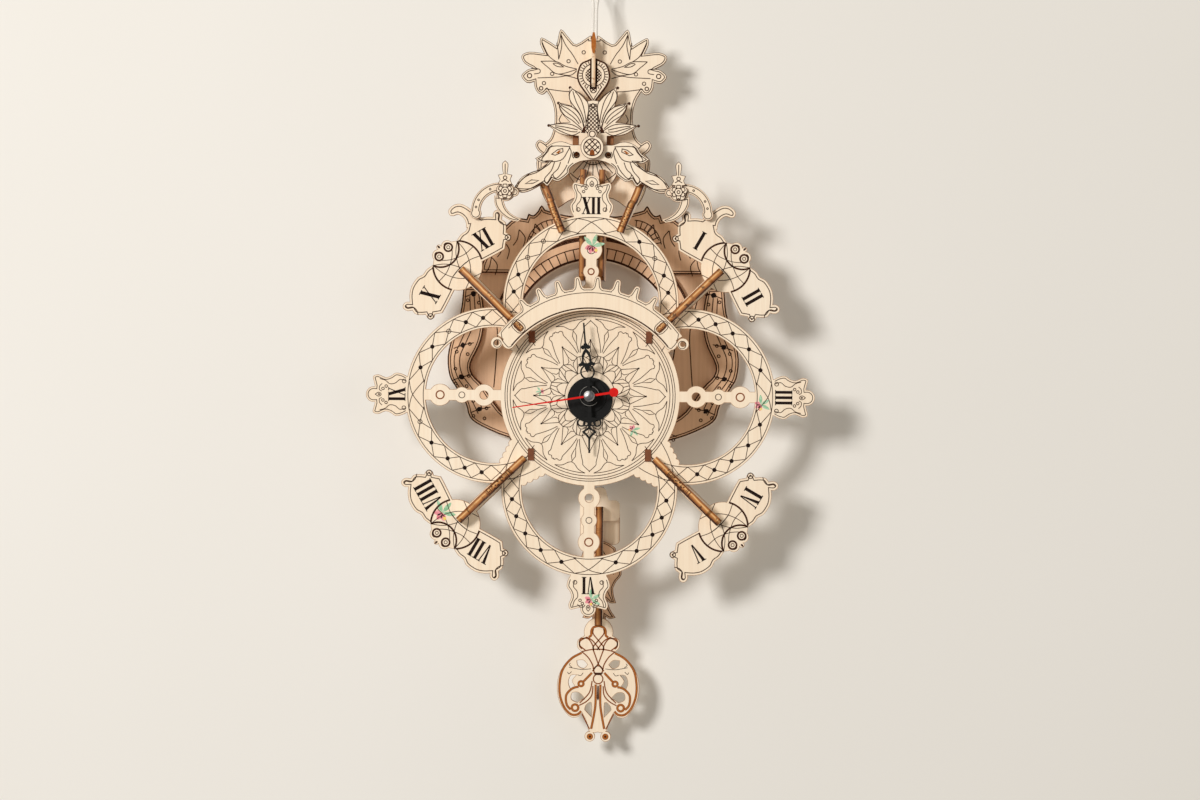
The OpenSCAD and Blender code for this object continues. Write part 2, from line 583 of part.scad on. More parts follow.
// Number plates: drawn with X along the plate and Y pointing outwards
lobe = [[4, -6, 1], [9.8, -7.2, 1], [18, -9.8], [22.4, -11, 1], [25.4, -8.8, 1], [27.3, -9.6], [29.3, -8.2],
    [28.8, -5.6, 1], [30.6, -4], [32.2, -1.8], [31.9, 0.6, 1], [34, 2.3], [34.4, 4.6], [33, 5.9], [31, 5.6],
    [29.8, 4.4, 1], [27.6, 6.8], [24.6, 8.9], [21.4, 9.9], [18.2, 10.2], [15.4, 9.3], [12.4, 9.8],
    [9.3, 9.3, 1], [4, 8, 1]];
horn = [[25.6, 8.1, 1], [25, 12.6], [24.4, 17.2], [23, 20.8], [20.1, 22.8], [16.6, 22.8], [15.2, 20.6],
    [16.4, 19], [18.3, 18], [19.1, 15.6], [18.6, 12.8], [16.5, 10, 1]];
module number_2d(horn_side) {
    difference() {
        union() {
            circle(r = number_disc_r);
            for (x = [-1, 1]) outline(smooth(flip(lobe, x), 3));
            twins([3.2, number_disc_r - 1.8], 3);
            translate([0, number_disc_r + 0.8]) circle(r = 1.3, $fn = 24);
            if (horn_side != 0) outline(smooth(flip(horn, horn_side), 3));
            translate([-tongue_w / 2, rib_slot_s + rib_slot_len - number_s])
                square([tongue_w, number_s - rib_slot_s - rib_slot_len]);
        }
        translate([0, -number_s]) rotate(90)
            slot_2d(number_slot_s - fit_gap, number_slot_len + 2 * fit_gap, rib_t);
    }
}
module number_plate(angle, horn_side) color(wood) board(body_depth) rotate(angle - 90)
    translate([0, number_s]) number_2d(horn_side);
module number_plate_10_11() number_plate(180 - diag_angle, 1);
module number_plate_1_2() number_plate(diag_angle, -1);
module number_plate_4_5() number_plate(-diag_angle, 0);
module number_plate_7_8() number_plate(180 + diag_angle, 0);

// Movement
module case_2d(inset) offset_square(case_w - 2 * inset, case_h - 2 * inset, case_corner_r - inset);
module offset_square(w, h, r) {
    square([w - 2 * r, h], center = true);
    square([w, h - 2 * r], center = true);
    for (x = [-1, 1], y = [-1, 1]) translate([x * (w / 2 - r), y * (h / 2 - r)]) circle(r = r);
}
module case_front() color(black) {
    board(case_inner_front, case_wall) difference() {
        case_2d(0);
        circle(r = bush_r);
    }
    board(case_split_d, case_inner_front - case_split_d) difference() {
        case_2d(0);
        case_2d(case_wall);
    }
    bar(post_r, minute_wheel_d - 1, case_inner_front, minute_at);
    bar(3, case_inner_front - 0.6, case_inner_front, set_at);
    difference() {
        bar(2, case_inner_front - 0.8, case_inner_front, third_at);
        bore(arbor_r + run_gap, case_inner_front - 0.8, case_inner_front, third_at);
    }
}
module case_back() color(black) {
    board(case_d, case_wall) difference() {
        case_2d(0);
        translate(set_at) circle(r = set_shaft_r + run_gap);
        translate([-battery_len / 2 - 0.5, -battery_drop - battery_r])
            square([battery_len + 1, battery_r * 2]);
    }
    board(case_inner_back, case_split_d - case_inner_back) difference() {
        case_2d(0);
        case_2d(case_wall);
    }
    board(case_inner_back, 4) translate([-case_w / 2 + case_wall, -battery_drop + battery_r + 0.1])
        square([case_w - 2 * case_wall, 0.8]);
    for (p = [[0, 0], third_at]) difference() {
        bar(2, case_inner_back, case_inner_back + 1.4, p);
        bore((p == third_at ? arbor_r : second_r) + run_gap, case_inner_back, case_inner_back + 1.4, p);
    }
}
module battery() color("#3f7f4a") translate([-battery_len / 2, -battery_d, -battery_drop - hang_drop])
    rotate([0, 90, 0]) union() {
        cylinder(r = battery_r, h = battery_len - 1.4);
        cylinder(r = battery_r * 0.37, h = battery_len);
    }
module battery_contacts() color(steel) for (x = [-1, 1])
    translate([x * (battery_len / 2 + 0.35) - 0.2, -battery_d - 5, -battery_drop - 5 - hang_drop])
        cube([0.4, 10, 10]);
module stepper_module() color("#b5622c") {
    left = -case_w / 2 + case_wall + 1;
    translate([left, -case_inner_front + 0.6, -4 - hang_drop]) cube([8, 8, 24]);
    translate([left + 8, -case_inner_front + 3, 14 - hang_drop]) cube([3, 5, 5]);
}
module circuit_board() color("#2f6b3a") board(case_inner_back, 1)
    translate([-case_w / 2 + case_wall + 2.1, 3]) square([9, 20]);
module threaded_bush() color(brass) difference() {
    bar(bush_r, case_inner_front, bush_end);
    bore(hour_r + run_gap, case_inner_front, bush_end);
}
module dial_washer() color(black) board(dial_front, washer_t) translate([0, -washer_drop]) difference() {
    circle(r = washer_r);
    circle(r = bush_r + washer_drop);
}
module dial_nut() color(black) difference() {
    union() {
        bar(bush_r + 2 * washer_drop + 0.5, dial_front + washer_t, dial_front + washer_t + nut_flange_t);
        translate([0, -dial_front - washer_t, -hang_drop]) rotate([90, 0, 0])
            cylinder(r = nut_af / sqrt(3), h = nut_t, $fn = 6);
    }
    bore(bush_r, dial_front + washer_t, dial_front + washer_t + nut_t);
}
// A gear drawn as a polygon, with one tooth centred on the given angle
tooth = [[-0.31, -1.05], [-0.13, 0.85], [0.13, 0.85], [0.31, -1.05]];
function gear_points(n, m, angle) = [for (i = [0:n - 1], k = tooth)
    let (a = angle + (i + k[0]) * 360 / n, r = m * (n / 2 + k[1])) r * [cos(a), sin(a)]];
// The angle of a tooth of a gear that meshes with one of n_from teeth, in the direction dir
function mate(dir, n_from, angle_from, n) = dir + 180 + ((dir - angle_from) * n_from / 360 + 0.5) * 360 / n;
cannon_tooth = motion_dir;
minute_tooth = mate(motion_dir, cannon_n, cannon_tooth, minute_n);
set_tooth = mate(set_dir, minute_n, minute_tooth, set_n);
hour_tooth = mate(motion_dir + 180, minute_pinion_n, motion_dir, hour_n);
third_tooth = mate(third_dir, second_pinion_n, third_dir, third_n);
centre_tooth = mate(third_dir + 180, third_pinion_n, third_dir, centre_n);
module gear(n, m, angle, d, t, where = [0, 0]) board(d, t) translate(where)
    polygon(gear_points(n, m, angle));
// The small gear of a pair is thicker than the wheel it drives by mesh_extra on each side
module pinion(n, m, angle, d, where = [0, 0])
    gear(n, m, angle, d - mesh_extra, gear_t + 2 * mesh_extra, where);
module hour_wheel() color("#e8e4da") difference() {
    union() {
        gear(hour_n, hour_m, hour_tooth, hour_wheel_d, gear_t);
        bar(hour_r, hour_wheel_d, hour_tube_end);
    }
    bore(minute_r + run_gap, hour_wheel_d, hour_tube_end);
}
module centre_wheel() color("#e8e4da") difference() {
    union() {
        gear(centre_n, centre_m, centre_tooth, centre_wheel_d, gear_t);
        pinion(cannon_n, motion_m, cannon_tooth, minute_wheel_d);
        bar(minute_r, centre_wheel_d, minute_tube_end);
    }
    bore(second_r + run_gap, centre_wheel_d, minute_tube_end);
}
module second_arbor() color(steel) {
    pinion(second_pinion_n, second_m, third_dir, third_wheel_d);
    bar(second_r, case_inner_back, arbor_end);
}
module third_wheel() color("#e8e4da") {
    gear(third_n, second_m, third_tooth, third_wheel_d, gear_t, third_at);
    pinion(third_pinion_n, centre_m, third_dir, centre_wheel_d, third_at);
    bar(arbor_r, case_inner_back, case_inner_front, third_at);
}
module minute_wheel() color("#e8e4da") difference() {
    union() {
        gear(minute_n, motion_m, minute_tooth, minute_wheel_d, gear_t, minute_at);
        pinion(minute_pinion_n, hour_m, motion_dir, hour_wheel_d, minute_at);
        bar(1.7, minute_wheel_d, hour_wheel_d, minute_at);
    }
    bore(post_r + run_gap, minute_wheel_d, hour_wheel_d + gear_t + mesh_extra, minute_at);
}
module setting_knob() color(black) {
    pinion(set_n, motion_m, set_tooth, minute_wheel_d, set_at);
    bar(set_shaft_r, case_d - 1, case_inner_front - 0.7, set_at);
    board(case_d - 4, 3.4) translate(set_at) for (a = [0:30:359]) rotate(a) {
        square([2 * set_knob_r - 1, 1.4], center = true);
        circle(r = set_knob_r - 0.8);
    }
}

// Hands, drawn pointing upwards
module hand(d, angle) board(d, hand_t) rotate(-angle) children();
module loop_2d(p, r, w) translate(p) difference() {
    circle(r = r, $fn = 32);
    circle(r = r - w, $fn = 32);
}
module minute_hand() {
    k = minute_len;
    color(black) difference() {
        union() {
            hand(minute_hand_d, minute_angle) {
                outline([[-0.45, k - 13], [-0.4, k], [0.4, k], [0.45, k - 13]]);
                for (a = [-100, 0, 100]) translate([sin(a) * 1.3, k - 12 + cos(a) * 0.9])
                    circle(r = 1.05, $fn = 24);
                difference() {
                    smooth_shape([[0, k - 12.6, 1], [1.2, k - 14], [2.3, k - 16.4], [2.5, k - 19.4],
                        [4.4, k - 20.4, 1], [3.6, k - 21.8, 1], [2, k - 21.4], [0, k - 23.4, 1]]);
                    smooth_shape([[0, k - 14.8, 1], [1.2, k - 17], [1.4, k - 19.6], [0, k - 20.2, 1]]);
                }
                loop_2d([0, k - 24.6], 3.7, 0.8);
                smooth_shape([[0, k - 21, 1], [1.3, k - 22.4], [0, k - 25, 1]]);
                outline([[-0.7, 0], [-0.7, k - 27.6], [0.7, k - 27.6], [0.7, 0]]);
                circle(r = 4.1);
            }
            bar(3, minute_hand_d - 0.5, minute_hand_d + 1.1);
        }
        bore(minute_r, minute_hand_d - 0.5, minute_hand_d + 1.1);
    }
}
module hour_hand() {
    k = hour_len;
    color(black) difference() {
        union() {
            hand(hour_hand_d, hour_angle) {
                outline([[-0.5, k - 8], [-0.4, k], [0.4, k], [0.5, k - 8]]);
                difference() {
                    smooth_shape([[0, k - 6.6, 1], [2, k - 9], [3.8, k - 10.6, 1], [2, k - 11.8],
                        [0, k - 13.4, 1]]);
                    smooth_shape([[0, k - 8.2, 1], [2.1, k - 10.6, 1], [0, k - 12, 1]]);
                }
                for (x = [-1, 1]) {
                    loop_2d([x * 4, k - 15.2], 2.1, 0.75);
                    loop_2d([x * 1.7, k - 14.8], 1.5, 0.7);
                }
                smooth_shape([[0, k - 12.4, 1], [0.8, k - 13.4], [0.8, k - 15], [3.6, k - 16.6],
                    [3.2, k - 17.6], [0.9, k - 17.8, 1], [0.9, 0, 1], [0, 0, 1]]);
                circle(r = 5.2);
            }
            bar(3.6, hour_hand_d - 0.4, hour_hand_d + 0.9);
        }
        bore(hour_r, hour_hand_d - 0.4, hour_hand_d + 0.9);
    }
}
module second_hand() color(red) difference() {
    union() {
        hand(second_hand_d, second_angle) {
            outline([[-0.6, -12], [-0.25, second_len], [0.25, second_len], [0.6, -12]]);
            translate([0, -12.4]) circle(r = 2.3);
            circle(r = 2.2);
        }
    }
    bore(second_r, second_hand_d, second_hand_d + hand_t);
}
module hand_cap() color(steel) difference() {
    translate([0, -second_hand_d - hand_t, -hang_drop]) rotate([90, 0, 0])
        rotate_extrude() polygon([[0, 0], [2.8, 0], [2.8, 1], [2.5, 1.7], [1.9, 2.1], [0, 2.2]]);
    bar(second_r, second_hand_d, arbor_end);
}

// Pendulum
module pendulum_drive() color(black) {
    difference() {
        board(case_d - drive_t, drive_t) translate([pendulum_x, pivot_up])
            offset_square(drive_w, drive_h, 1);
        bore(set_knob_r + 0.6, case_d - drive_t, case_d, set_at);
    }
    bar(pivot_r, hanger_d - 0.6, case_d - drive_t, [pendulum_x, pivot_up]);
    bar(pivot_r + 0.8, hanger_d - 1.4, hanger_d - 0.6, [pendulum_x, pivot_up]);
}
module pendulum_hanger() color(steel) board(hanger_d, hanger_t) translate([pendulum_x, 0]) difference() {
    union() {
        translate([0, pivot_up]) circle(r = hanger_w / 2 + 1);
        translate([-hanger_w / 2, -rod_top - 1]) square([hanger_w, pivot_up + rod_top + 1]);
    }
    translate([0, pivot_up]) circle(r = pivot_r + run_gap);
}
module pendulum_rod() color(burnt) edge_board([pendulum_x, 0], 90, rib_t, [[-rod_top, bob_d],
    [-rod_top, bob_d + rod_h - 1], [-rod_top - 1.4, bob_d + rod_h], [-bob_top - 3.4, bob_d + rod_h],
    [-bob_top - 4, bob_d + ply], [-bob_top + fit_gap, bob_d + ply], [-bob_top + fit_gap, bob_d]]);
plate_r = 2.4;
module pendulum_plate_upper() color(wood) board(upper_plate_d) translate([pendulum_x, 0]) {
    translate([0, -upper_plate_top - upper_plate_h / 2])
        offset_square(plate_half_w * 2, upper_plate_h, plate_r);
    smooth_shape([[0, -upper_plate_top + 6.6], [2.6, -upper_plate_top + 5.6], [3.6, -upper_plate_top + 2.6],
        [4.4, -upper_plate_top, 1], [4.4, -upper_plate_top - 2, 1], [0, -upper_plate_top - 2, 1]]);
}
module pendulum_plate_lower() color(wood) board(lower_plate_d)
    translate([pendulum_x, -(rod_top + 1.6 + lower_plate_bottom) / 2])
        offset_square(plate_half_w * 2, lower_plate_bottom - rod_top - 1.6, plate_r);
leaf_half = [[0, -72.6, 1], [4, -74], [8, -76.6, 1], [8.8, -80], [10.4, -85], [11.2, -90], [8.4, -93.8],
    [7, -97, 1], [7.4, -100.6], [8.6, -104.4, 1], [5.6, -104.4], [4, -102.8, 1], [5.6, -107.6],
    [8.4, -111.8, 1], [5.4, -112.4], [3.4, -111.2, 1], [3.4, -bob_top - leaf_lap, 1],
    [0, -bob_top - leaf_lap, 1]];
module pendulum_leaves() color(back_wood) board(upper_plate_d) translate([pendulum_x, 0])
    smooth_shape(leaf_half);
// The bob, measured down from its top
bob_half = [[0, -0.7, 1], [4, -1.9, 1], [6.6, -8.9, 1], [10.3, -11.3], [10.6, -14.9], [8.4, -17.3, 1],
    [14, -20.9], [18.8, -26.5], [bob_half_w, -34.3], [19.4, -42.9], [14.6, -49.7], [10.4, -50.3],
    [7.9, -48.1, 1], [5.6, -52.7], [4.6, -56.9], [1.6, -58.1], [0, -57.7]];
bob_windows = [
    [[5.4, -23.7, 1], [7.6, -21.5], [10.8, -21.7, 1], [10.2, -24.3], [7.4, -25.7]],
    [[11, -28.9, 1], [13.8, -29.3], [15, -32.9], [13.6, -36.3], [11.8, -34.7], [13.2, -31.9]],
    [[6.8, -40.9], [9.6, -37.9], [13, -38.1], [13.4, -41.3], [10.4, -42.9, 1], [8.2, -41.3]],
    [[3.2, -50.1, 1], [3.4, -42.9], [6, -44.3], [6.6, -46.5, 1]]];
module pendulum_bob() color(wood) board(bob_d) translate([pendulum_x, -bob_top]) difference() {
    union() {
        smooth_shape(bob_half);
        translate([0, -bob_disc_r]) circle(r = bob_disc_r);
        twins([4, 2.6 - bob_h], 2.6);
    }
    for (x = [-1, 1], w = bob_windows) outline(smooth(flip(w, x), 3));
}

// Cord: one strand up from the crown's notch, round its loop over the hook and down again
cord_x = 0.85;
cord_y = crown_d + ply / 2;
cord_side = [[cord_x, cord_y, 179.6], [cord_x, cord_y - 0.2, 184], [cord_x, cord_y - 1.6, 190],
    [0.9, cord_y - 4, 196], [1.5, cord_y - 6, 200.6], [2.8, cord_y - 7.6, 204.6], [3.4, cord_y - 8.6, 207.6],
    [2.5, cord_y - 9.2, 210.2]];
cord_top = [0, cord_y - 9.4, 211.3];
cord_route = concat([for (p = cord_side) [-p[0], p[1], p[2]]], [cord_top],
    [for (i = [len(cord_side) - 1:-1:0]) cord_side[i]]);
cord_points = [for (p = cord_route) [p[0], -p[1], p[2] - hang_drop]];
cord_last = len(cord_points) - 1;
function cord_curve(steps) = concat([for (i = [0:cord_last - 1], k = [0:steps - 1])
    bend(cord_points[max(i - 1, 0)], cord_points[i], cord_points[i + 1],
        cord_points[min(i + 2, cord_last)], k / steps)], [cord_points[cord_last]]);
module tube(path, r, sides) {
    n = len(path);
    rings = [for (i = [0:n - 1]) let (
        way = path[min(i + 1, n - 1)] - path[max(i - 1, 0)],
        t = i == 0 || i == n - 1 ? [0, 0, way[2]] / abs(way[2]) : way / norm(way),
        u = cross([0, 1, 0], t) / norm(cross([0, 1, 0], t)), v = cross(t, u))
        for (k = [0:sides - 1]) path[i] + r * (cos(k * 360 / sides) * u + sin(k * 360 / sides) * v)];
    sides_list = [for (i = [0:n - 2], k = [0:sides - 1]) let (j = (k + 1) % sides)
        [i * sides + k, i * sides + j, (i + 1) * sides + j, (i + 1) * sides + k]];
    ends = [[for (k = [sides - 1:-1:0]) k], [for (k = [0:sides - 1]) (n - 1) * sides + k]];
    polyhedron(rings, concat(sides_list, ends));
}
module hanging_cord() color("white") tube(cord_curve(2), cord_d / 2, 8);

back_plate();
back_border();
brick_ring();
scalloped_board();
rail_left();
rail_right();
crown_back();
crown_front();
crown_bulb();
crown_spine();
crown_spacer();
pineapple_ring();
keystone_fan();
swag_plate();
top_bracket_left();
top_bracket_right();
scroll_plate_left();
scroll_plate_right();
rosette_left();
rosette_right();
quatrefoil_plate();
toothed_arch();
rib_upper_left();
rib_upper_right();
rib_lower_left();
rib_lower_right();
number_plate_10_11();
number_plate_1_2();
number_plate_4_5();
number_plate_7_8();
bay_side_left();
bay_side_right();
case_front();
case_back();
battery();
battery_contacts();
stepper_module();
circuit_board();
threaded_bush();
dial_washer();
dial_nut();
hour_wheel();
hour_hand();
centre_wheel();
minute_hand();
second_arbor();
second_hand();
hand_cap();
minute_wheel();
third_wheel();
setting_knob();
pendulum_drive();
pendulum_hanger();
pendulum_rod();
pendulum_plate_upper();
pendulum_plate_lower();
pendulum_leaves();
pendulum_bob();
hanging_cord();
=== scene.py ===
"""The looks of a wooden wall clock: plywood, burnt edges, engraved lines, paint, cord and light."""
import math

import bpy
import numpy as np
from mathutils import Matrix, Vector


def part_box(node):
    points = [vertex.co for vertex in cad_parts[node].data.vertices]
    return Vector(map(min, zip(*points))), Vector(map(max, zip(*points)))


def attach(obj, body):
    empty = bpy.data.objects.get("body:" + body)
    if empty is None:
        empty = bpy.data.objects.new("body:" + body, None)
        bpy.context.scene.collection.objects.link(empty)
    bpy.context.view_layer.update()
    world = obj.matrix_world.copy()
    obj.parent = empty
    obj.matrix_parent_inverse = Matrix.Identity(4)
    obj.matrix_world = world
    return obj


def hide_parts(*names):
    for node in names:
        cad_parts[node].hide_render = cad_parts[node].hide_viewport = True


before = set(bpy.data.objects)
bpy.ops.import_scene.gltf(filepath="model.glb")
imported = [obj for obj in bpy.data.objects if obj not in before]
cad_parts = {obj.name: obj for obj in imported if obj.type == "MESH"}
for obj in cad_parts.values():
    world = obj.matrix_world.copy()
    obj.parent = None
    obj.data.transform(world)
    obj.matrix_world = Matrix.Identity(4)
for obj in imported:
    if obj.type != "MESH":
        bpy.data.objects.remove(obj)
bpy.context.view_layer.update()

# Drawings are in mm as seen from the front, with the hands' axis at (0, 0).
# Depths are measured out from the wall.
MM = 0.001
PLY = 3
HANG_DROP = 208
DIAL = "quatrefoil_plate"
NUMBER = "number_plate_1_2"
PENDULUM_X = 4.4
RING_UP = 46.5
RING_SIDE = 48.5
NUMBER_S = 93.2
DIAG_ANGLE = 44
PLATE_ANGLES = {"number_plate_10_11": DIAG_ANGLE - 90, "number_plate_1_2": 90 - DIAG_ANGLE,
                "number_plate_4_5": 90 + DIAG_ANGLE, "number_plate_7_8": 270 - DIAG_ANGLE}


def face_depth(node):
    """How far a board's front face stands out from the wall, in mm."""
    return round(-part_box(node)[0][1] / MM, 3)


def at(x, z, depth):
    """A point of the drawing in the row frame, in metres."""
    return Vector((x * MM, -depth * MM, (z - HANG_DROP) * MM))


# Lines of the drawings. Angles are clockwise from the top, in degrees.
def polar(r, angle, centre=(0, 0)):
    return (centre[0] + r * math.sin(math.radians(angle)), centre[1] + r * math.cos(math.radians(angle)))


def arc(centre, r, start, end, step=4.0):
    count = max(2, int(abs(end - start) / step) + 1)
    return [polar(r, start + (end - start) * k / count, centre) for k in range(count + 1)]


def ring(centre, r, step=10.0):
    return arc(centre, r, 0, 360, step)


def curve(points, steps=5):
    """A smooth line through points of two or three coordinates."""
    last = len(points) - 1
    out = []
    for i in range(last):
        a, b, c, d = (np.array(points[min(max(i + k, 0), last)], float) for k in (-1, 0, 1, 2))
        for t in (k / steps for k in range(steps)):
            out.append(tuple(0.5 * (2 * b + (c - a) * t + (2 * a - 5 * b + 4 * c - d) * t * t
                                    + (3 * b - a - 3 * c + d) * t ** 3)))
    return out + [tuple(map(float, points[-1]))]


def curves(steps, *lines):
    return [curve(line, steps) for line in lines]


def flipped(lines):
    """The lines and their mirror images in the middle line."""
    return lines + [[(-x, z) for x, z in line] for line in lines]


def turned(lines, angle, about=(0, 0)):
    """The lines turned clockwise about a point."""
    c, s = math.cos(math.radians(angle)), math.sin(math.radians(angle))
    x0, z0 = about
    return [[(x0 + (x - x0) * c + (z - z0) * s, z0 - (x - x0) * s + (z - z0) * c) for x, z in line]
            for line in lines]


def shifted(lines, dx, dz):
    return [[(x + dx, z + dz) for x, z in line] for line in lines]


# Pieces
def add_piece(name, vertices, faces, body, material=None):
    mesh = bpy.data.meshes.new(name)
    mesh.from_pydata(vertices, [], faces)
    if material:
        mesh.materials.append(material)
    mesh.validate()
    piece = bpy.data.objects.new(name, mesh)
    bpy.context.collection.objects.link(piece)
    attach(piece, body)
    return piece


def tube(rows, sides):
    """The faces between rows of points that each go once round."""
    faces = []
    for start in range(0, (rows - 1) * sides, sides):
        for k in range(sides):
            a, b = start + k, start + (k + 1) % sides
            faces.append((a, b, b + sides, a + sides))
    return faces


# Camera, at the photograph's viewing angle
PHOTO_W, PHOTO_H = 1200, 800
PHOTO_AXIS = (590, 396)
MM_PER_PIXEL = 0.5
VIEW_AZIMUTH = math.radians(2.3)
VIEW_ROLL = math.radians(0.5)
VIEW_DISTANCE = 2.6
lens = bpy.data.cameras.new("camera")
lens.sensor_width = 36
lens.lens = lens.sensor_width * VIEW_DISTANCE / (PHOTO_W * MM_PER_PIXEL * MM)
lens.clip_start = 0.05
lens.clip_end = 50
camera = bpy.data.objects.new("camera", lens)
bpy.context.collection.objects.link(camera)
bpy.context.scene.camera = camera
to_camera = Vector((math.sin(VIEW_AZIMUTH), -math.cos(VIEW_AZIMUTH), 0))
turn = (-to_camera).to_track_quat("-Z", "Y").to_matrix() @ Matrix.Rotation(VIEW_ROLL, 3, "Z")
middle = Vector((PHOTO_W / 2 - PHOTO_AXIS[0], PHOTO_AXIS[1] - PHOTO_H / 2, 0)) * MM_PER_PIXEL * MM
target = at(0, 0, face_depth(DIAL)) + turn @ middle
camera.matrix_world = Matrix.Translation(target + to_camera * VIEW_DISTANCE) @ turn.to_4x4()

# Cord: its route in mm as [x, depth, height above the hands' axis], one strand up from the crown's notch
CORD_D = 1.5
CORD_LAY = 4.2
CORD_SIDES = 24
CORD_STRANDS = 3
STRAND_GROOVE = 0.20
CORD_SIDE = [(0.85, 22.5, 179.6), (0.85, 22.3, 184), (0.85, 20.9, 190), (0.9, 18.5, 196), (1.5, 16.5, 200.6),
             (2.8, 14.9, 204.6), (3.4, 13.9, 207.6), (2.5, 13.3, 210.2)]
CORD_TOP = (0, 13.1, 211.3)
CORD_ROUTE = [(-x, d, z) for x, d, z in CORD_SIDE] + [CORD_TOP] + CORD_SIDE[::-1]


def strand_radius(angle):
    """The outline of round strands that lie together, across the cord."""
    fold = abs(((angle / (2 * math.pi) * CORD_STRANDS) % 1) - 0.5) * 2
    return CORD_D / 2 * (1 - STRAND_GROOVE + STRAND_GROOVE * math.sqrt(max(0.0, 1 - (1 - fold) ** 2)))


def make_cord():
    route = [at(x, z, d) for x, d, z in curve(CORD_ROUTE, 12)]
    vertices = []
    gone = 0.0
    way = (route[1] - route[0]).normalized()
    side = way.cross(Vector((0, 1, 0))).normalized()
    for i, point in enumerate(route):
        ahead = (route[min(i + 1, len(route) - 1)] - route[max(i - 1, 0)]).normalized()
        side = (side - ahead * side.dot(ahead)).normalized()
        other = ahead.cross(side)
        if i:
            gone += (point - route[i - 1]).length
        twist = gone / (CORD_LAY * MM) * 2 * math.pi
        for k in range(CORD_SIDES):
            a = 2 * math.pi * k / CORD_SIDES
            r = strand_radius(a + twist) * MM
            vertices.append(point + side * (r * math.cos(a)) + other * (r * math.sin(a)))
    ends = [tuple(range(CORD_SIDES - 1, -1, -1)), tuple(range(len(vertices) - CORD_SIDES, len(vertices)))]
    piece = add_piece("cord", vertices, tube(len(route), CORD_SIDES) + ends, "frame")
    piece.data.shade_smooth()
    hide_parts("hanging_cord")
    return piece


cord_piece = make_cord()


# Materials. A surface is a new material, its node tree and its Principled shader.
def sheet(name):
    material = bpy.data.materials.new(name)
    material.use_nodes = True
    return material, material.node_tree, material.node_tree.nodes["Principled BSDF"]


def link(tree, source, target):
    tree.links.new(source, target)


def position(tree, scale=1):
    """The row frame's coordinates, stretched alike or by three factors."""
    place = tree.nodes.new("ShaderNodeTexCoord")
    mapping = tree.nodes.new("ShaderNodeMapping")
    mapping.inputs["Scale"].default_value = scale if isinstance(scale, tuple) else (scale,) * 3
    link(tree, place.outputs["Object"], mapping.inputs["Vector"])
    return mapping.outputs["Vector"]


def noise(tree, scale, detail=4.0, rough=0.55, vector=None):
    node = tree.nodes.new("ShaderNodeTexNoise")
    node.inputs["Scale"].default_value = 1.0
    node.inputs["Detail"].default_value = detail
    node.inputs["Roughness"].default_value = rough
    link(tree, vector or position(tree, scale), node.inputs["Vector"])
    return node.outputs["Fac"]


def ramp(tree, value, *stops):
    """Colours, or greys given as numbers, at places from 0 to 1 along a value."""
    node = tree.nodes.new("ShaderNodeValToRGB")
    while len(node.color_ramp.elements) < len(stops):
        node.color_ramp.elements.new(0.5)
    for element, (place, colour) in zip(node.color_ramp.elements, stops):
        element.position = place
        element.color = (*colour, 1) if isinstance(colour, tuple) else (colour, colour, colour, 1)
    link(tree, value, node.inputs["Fac"])
    return node.outputs["Color"]


def mixed(tree, share, first, second):
    node = tree.nodes.new("ShaderNodeMix")
    node.data_type = "RGBA"
    for socket, value in ((node.inputs[0], share), (node.inputs[6], first), (node.inputs[7], second)):
        if isinstance(value, tuple):
            socket.default_value = (*value, 1)
        else:
            link(tree, value, socket)
    return node.outputs[2]


def scaled(tree, value, factor, offset):
    """A number times a factor, with an offset added. The offset may be another number of the tree."""
    node = tree.nodes.new("ShaderNodeMath")
    node.operation = "MULTIPLY_ADD"
    node.inputs[1].default_value = factor
    link(tree, value, node.inputs[0])
    if isinstance(offset, float):
        node.inputs[2].default_value = offset
    else:
        link(tree, offset, node.inputs[2])
    return node.outputs[0]


def compared(tree, vector, way, operation="DOT_PRODUCT", output="Value"):
    """How far a vector goes along a way, or its shadow on it."""
    node = tree.nodes.new("ShaderNodeVectorMath")
    node.operation = operation
    node.inputs[1].default_value = way
    link(tree, vector, node.inputs[0])
    return node.outputs[output]


def coated(surface, colour, rough, specular, height, strength, distance=0.0002, metallic=0.0):
    """The surface's material, with its colour, gloss and bump."""
    material, tree, shader = surface
    link(tree, colour, shader.inputs["Base Color"])
    shader.inputs["Roughness"].default_value = rough
    shader.inputs["Specular IOR Level"].default_value = specular
    shader.inputs["Metallic"].default_value = metallic
    bump = tree.nodes.new("ShaderNodeBump")
    bump.inputs["Strength"].default_value = strength
    bump.inputs["Distance"].default_value = distance
    link(tree, height, bump.inputs["Height"])
    link(tree, bump.outputs["Normal"], shader.inputs["Normal"])
    return material


def veneer(name, pale, warm, dark):
    """The sanded face of plywood: long faint fibres, broad warm patches and small pores."""
    surface = sheet(name)
    tree = surface[1]
    fibres = noise(tree, (700, 700, 26), 5, 0.6)
    patches = noise(tree, (22, 22, 9), 3, 0.5)
    pores = noise(tree, (2600, 2600, 160), 2, 0.5)
    ground = ramp(tree, patches, (0.32, pale), (0.68, warm))
    toned = mixed(tree, ramp(tree, fibres, (0.4, 0), (0.78, 0.3)), ground, dark)
    colour = mixed(tree, ramp(tree, pores, (0.66, 0), (0.8, 0.22)), toned, dark)
    return coated(surface, colour, 0.62, 0.28, fibres, 0.25)


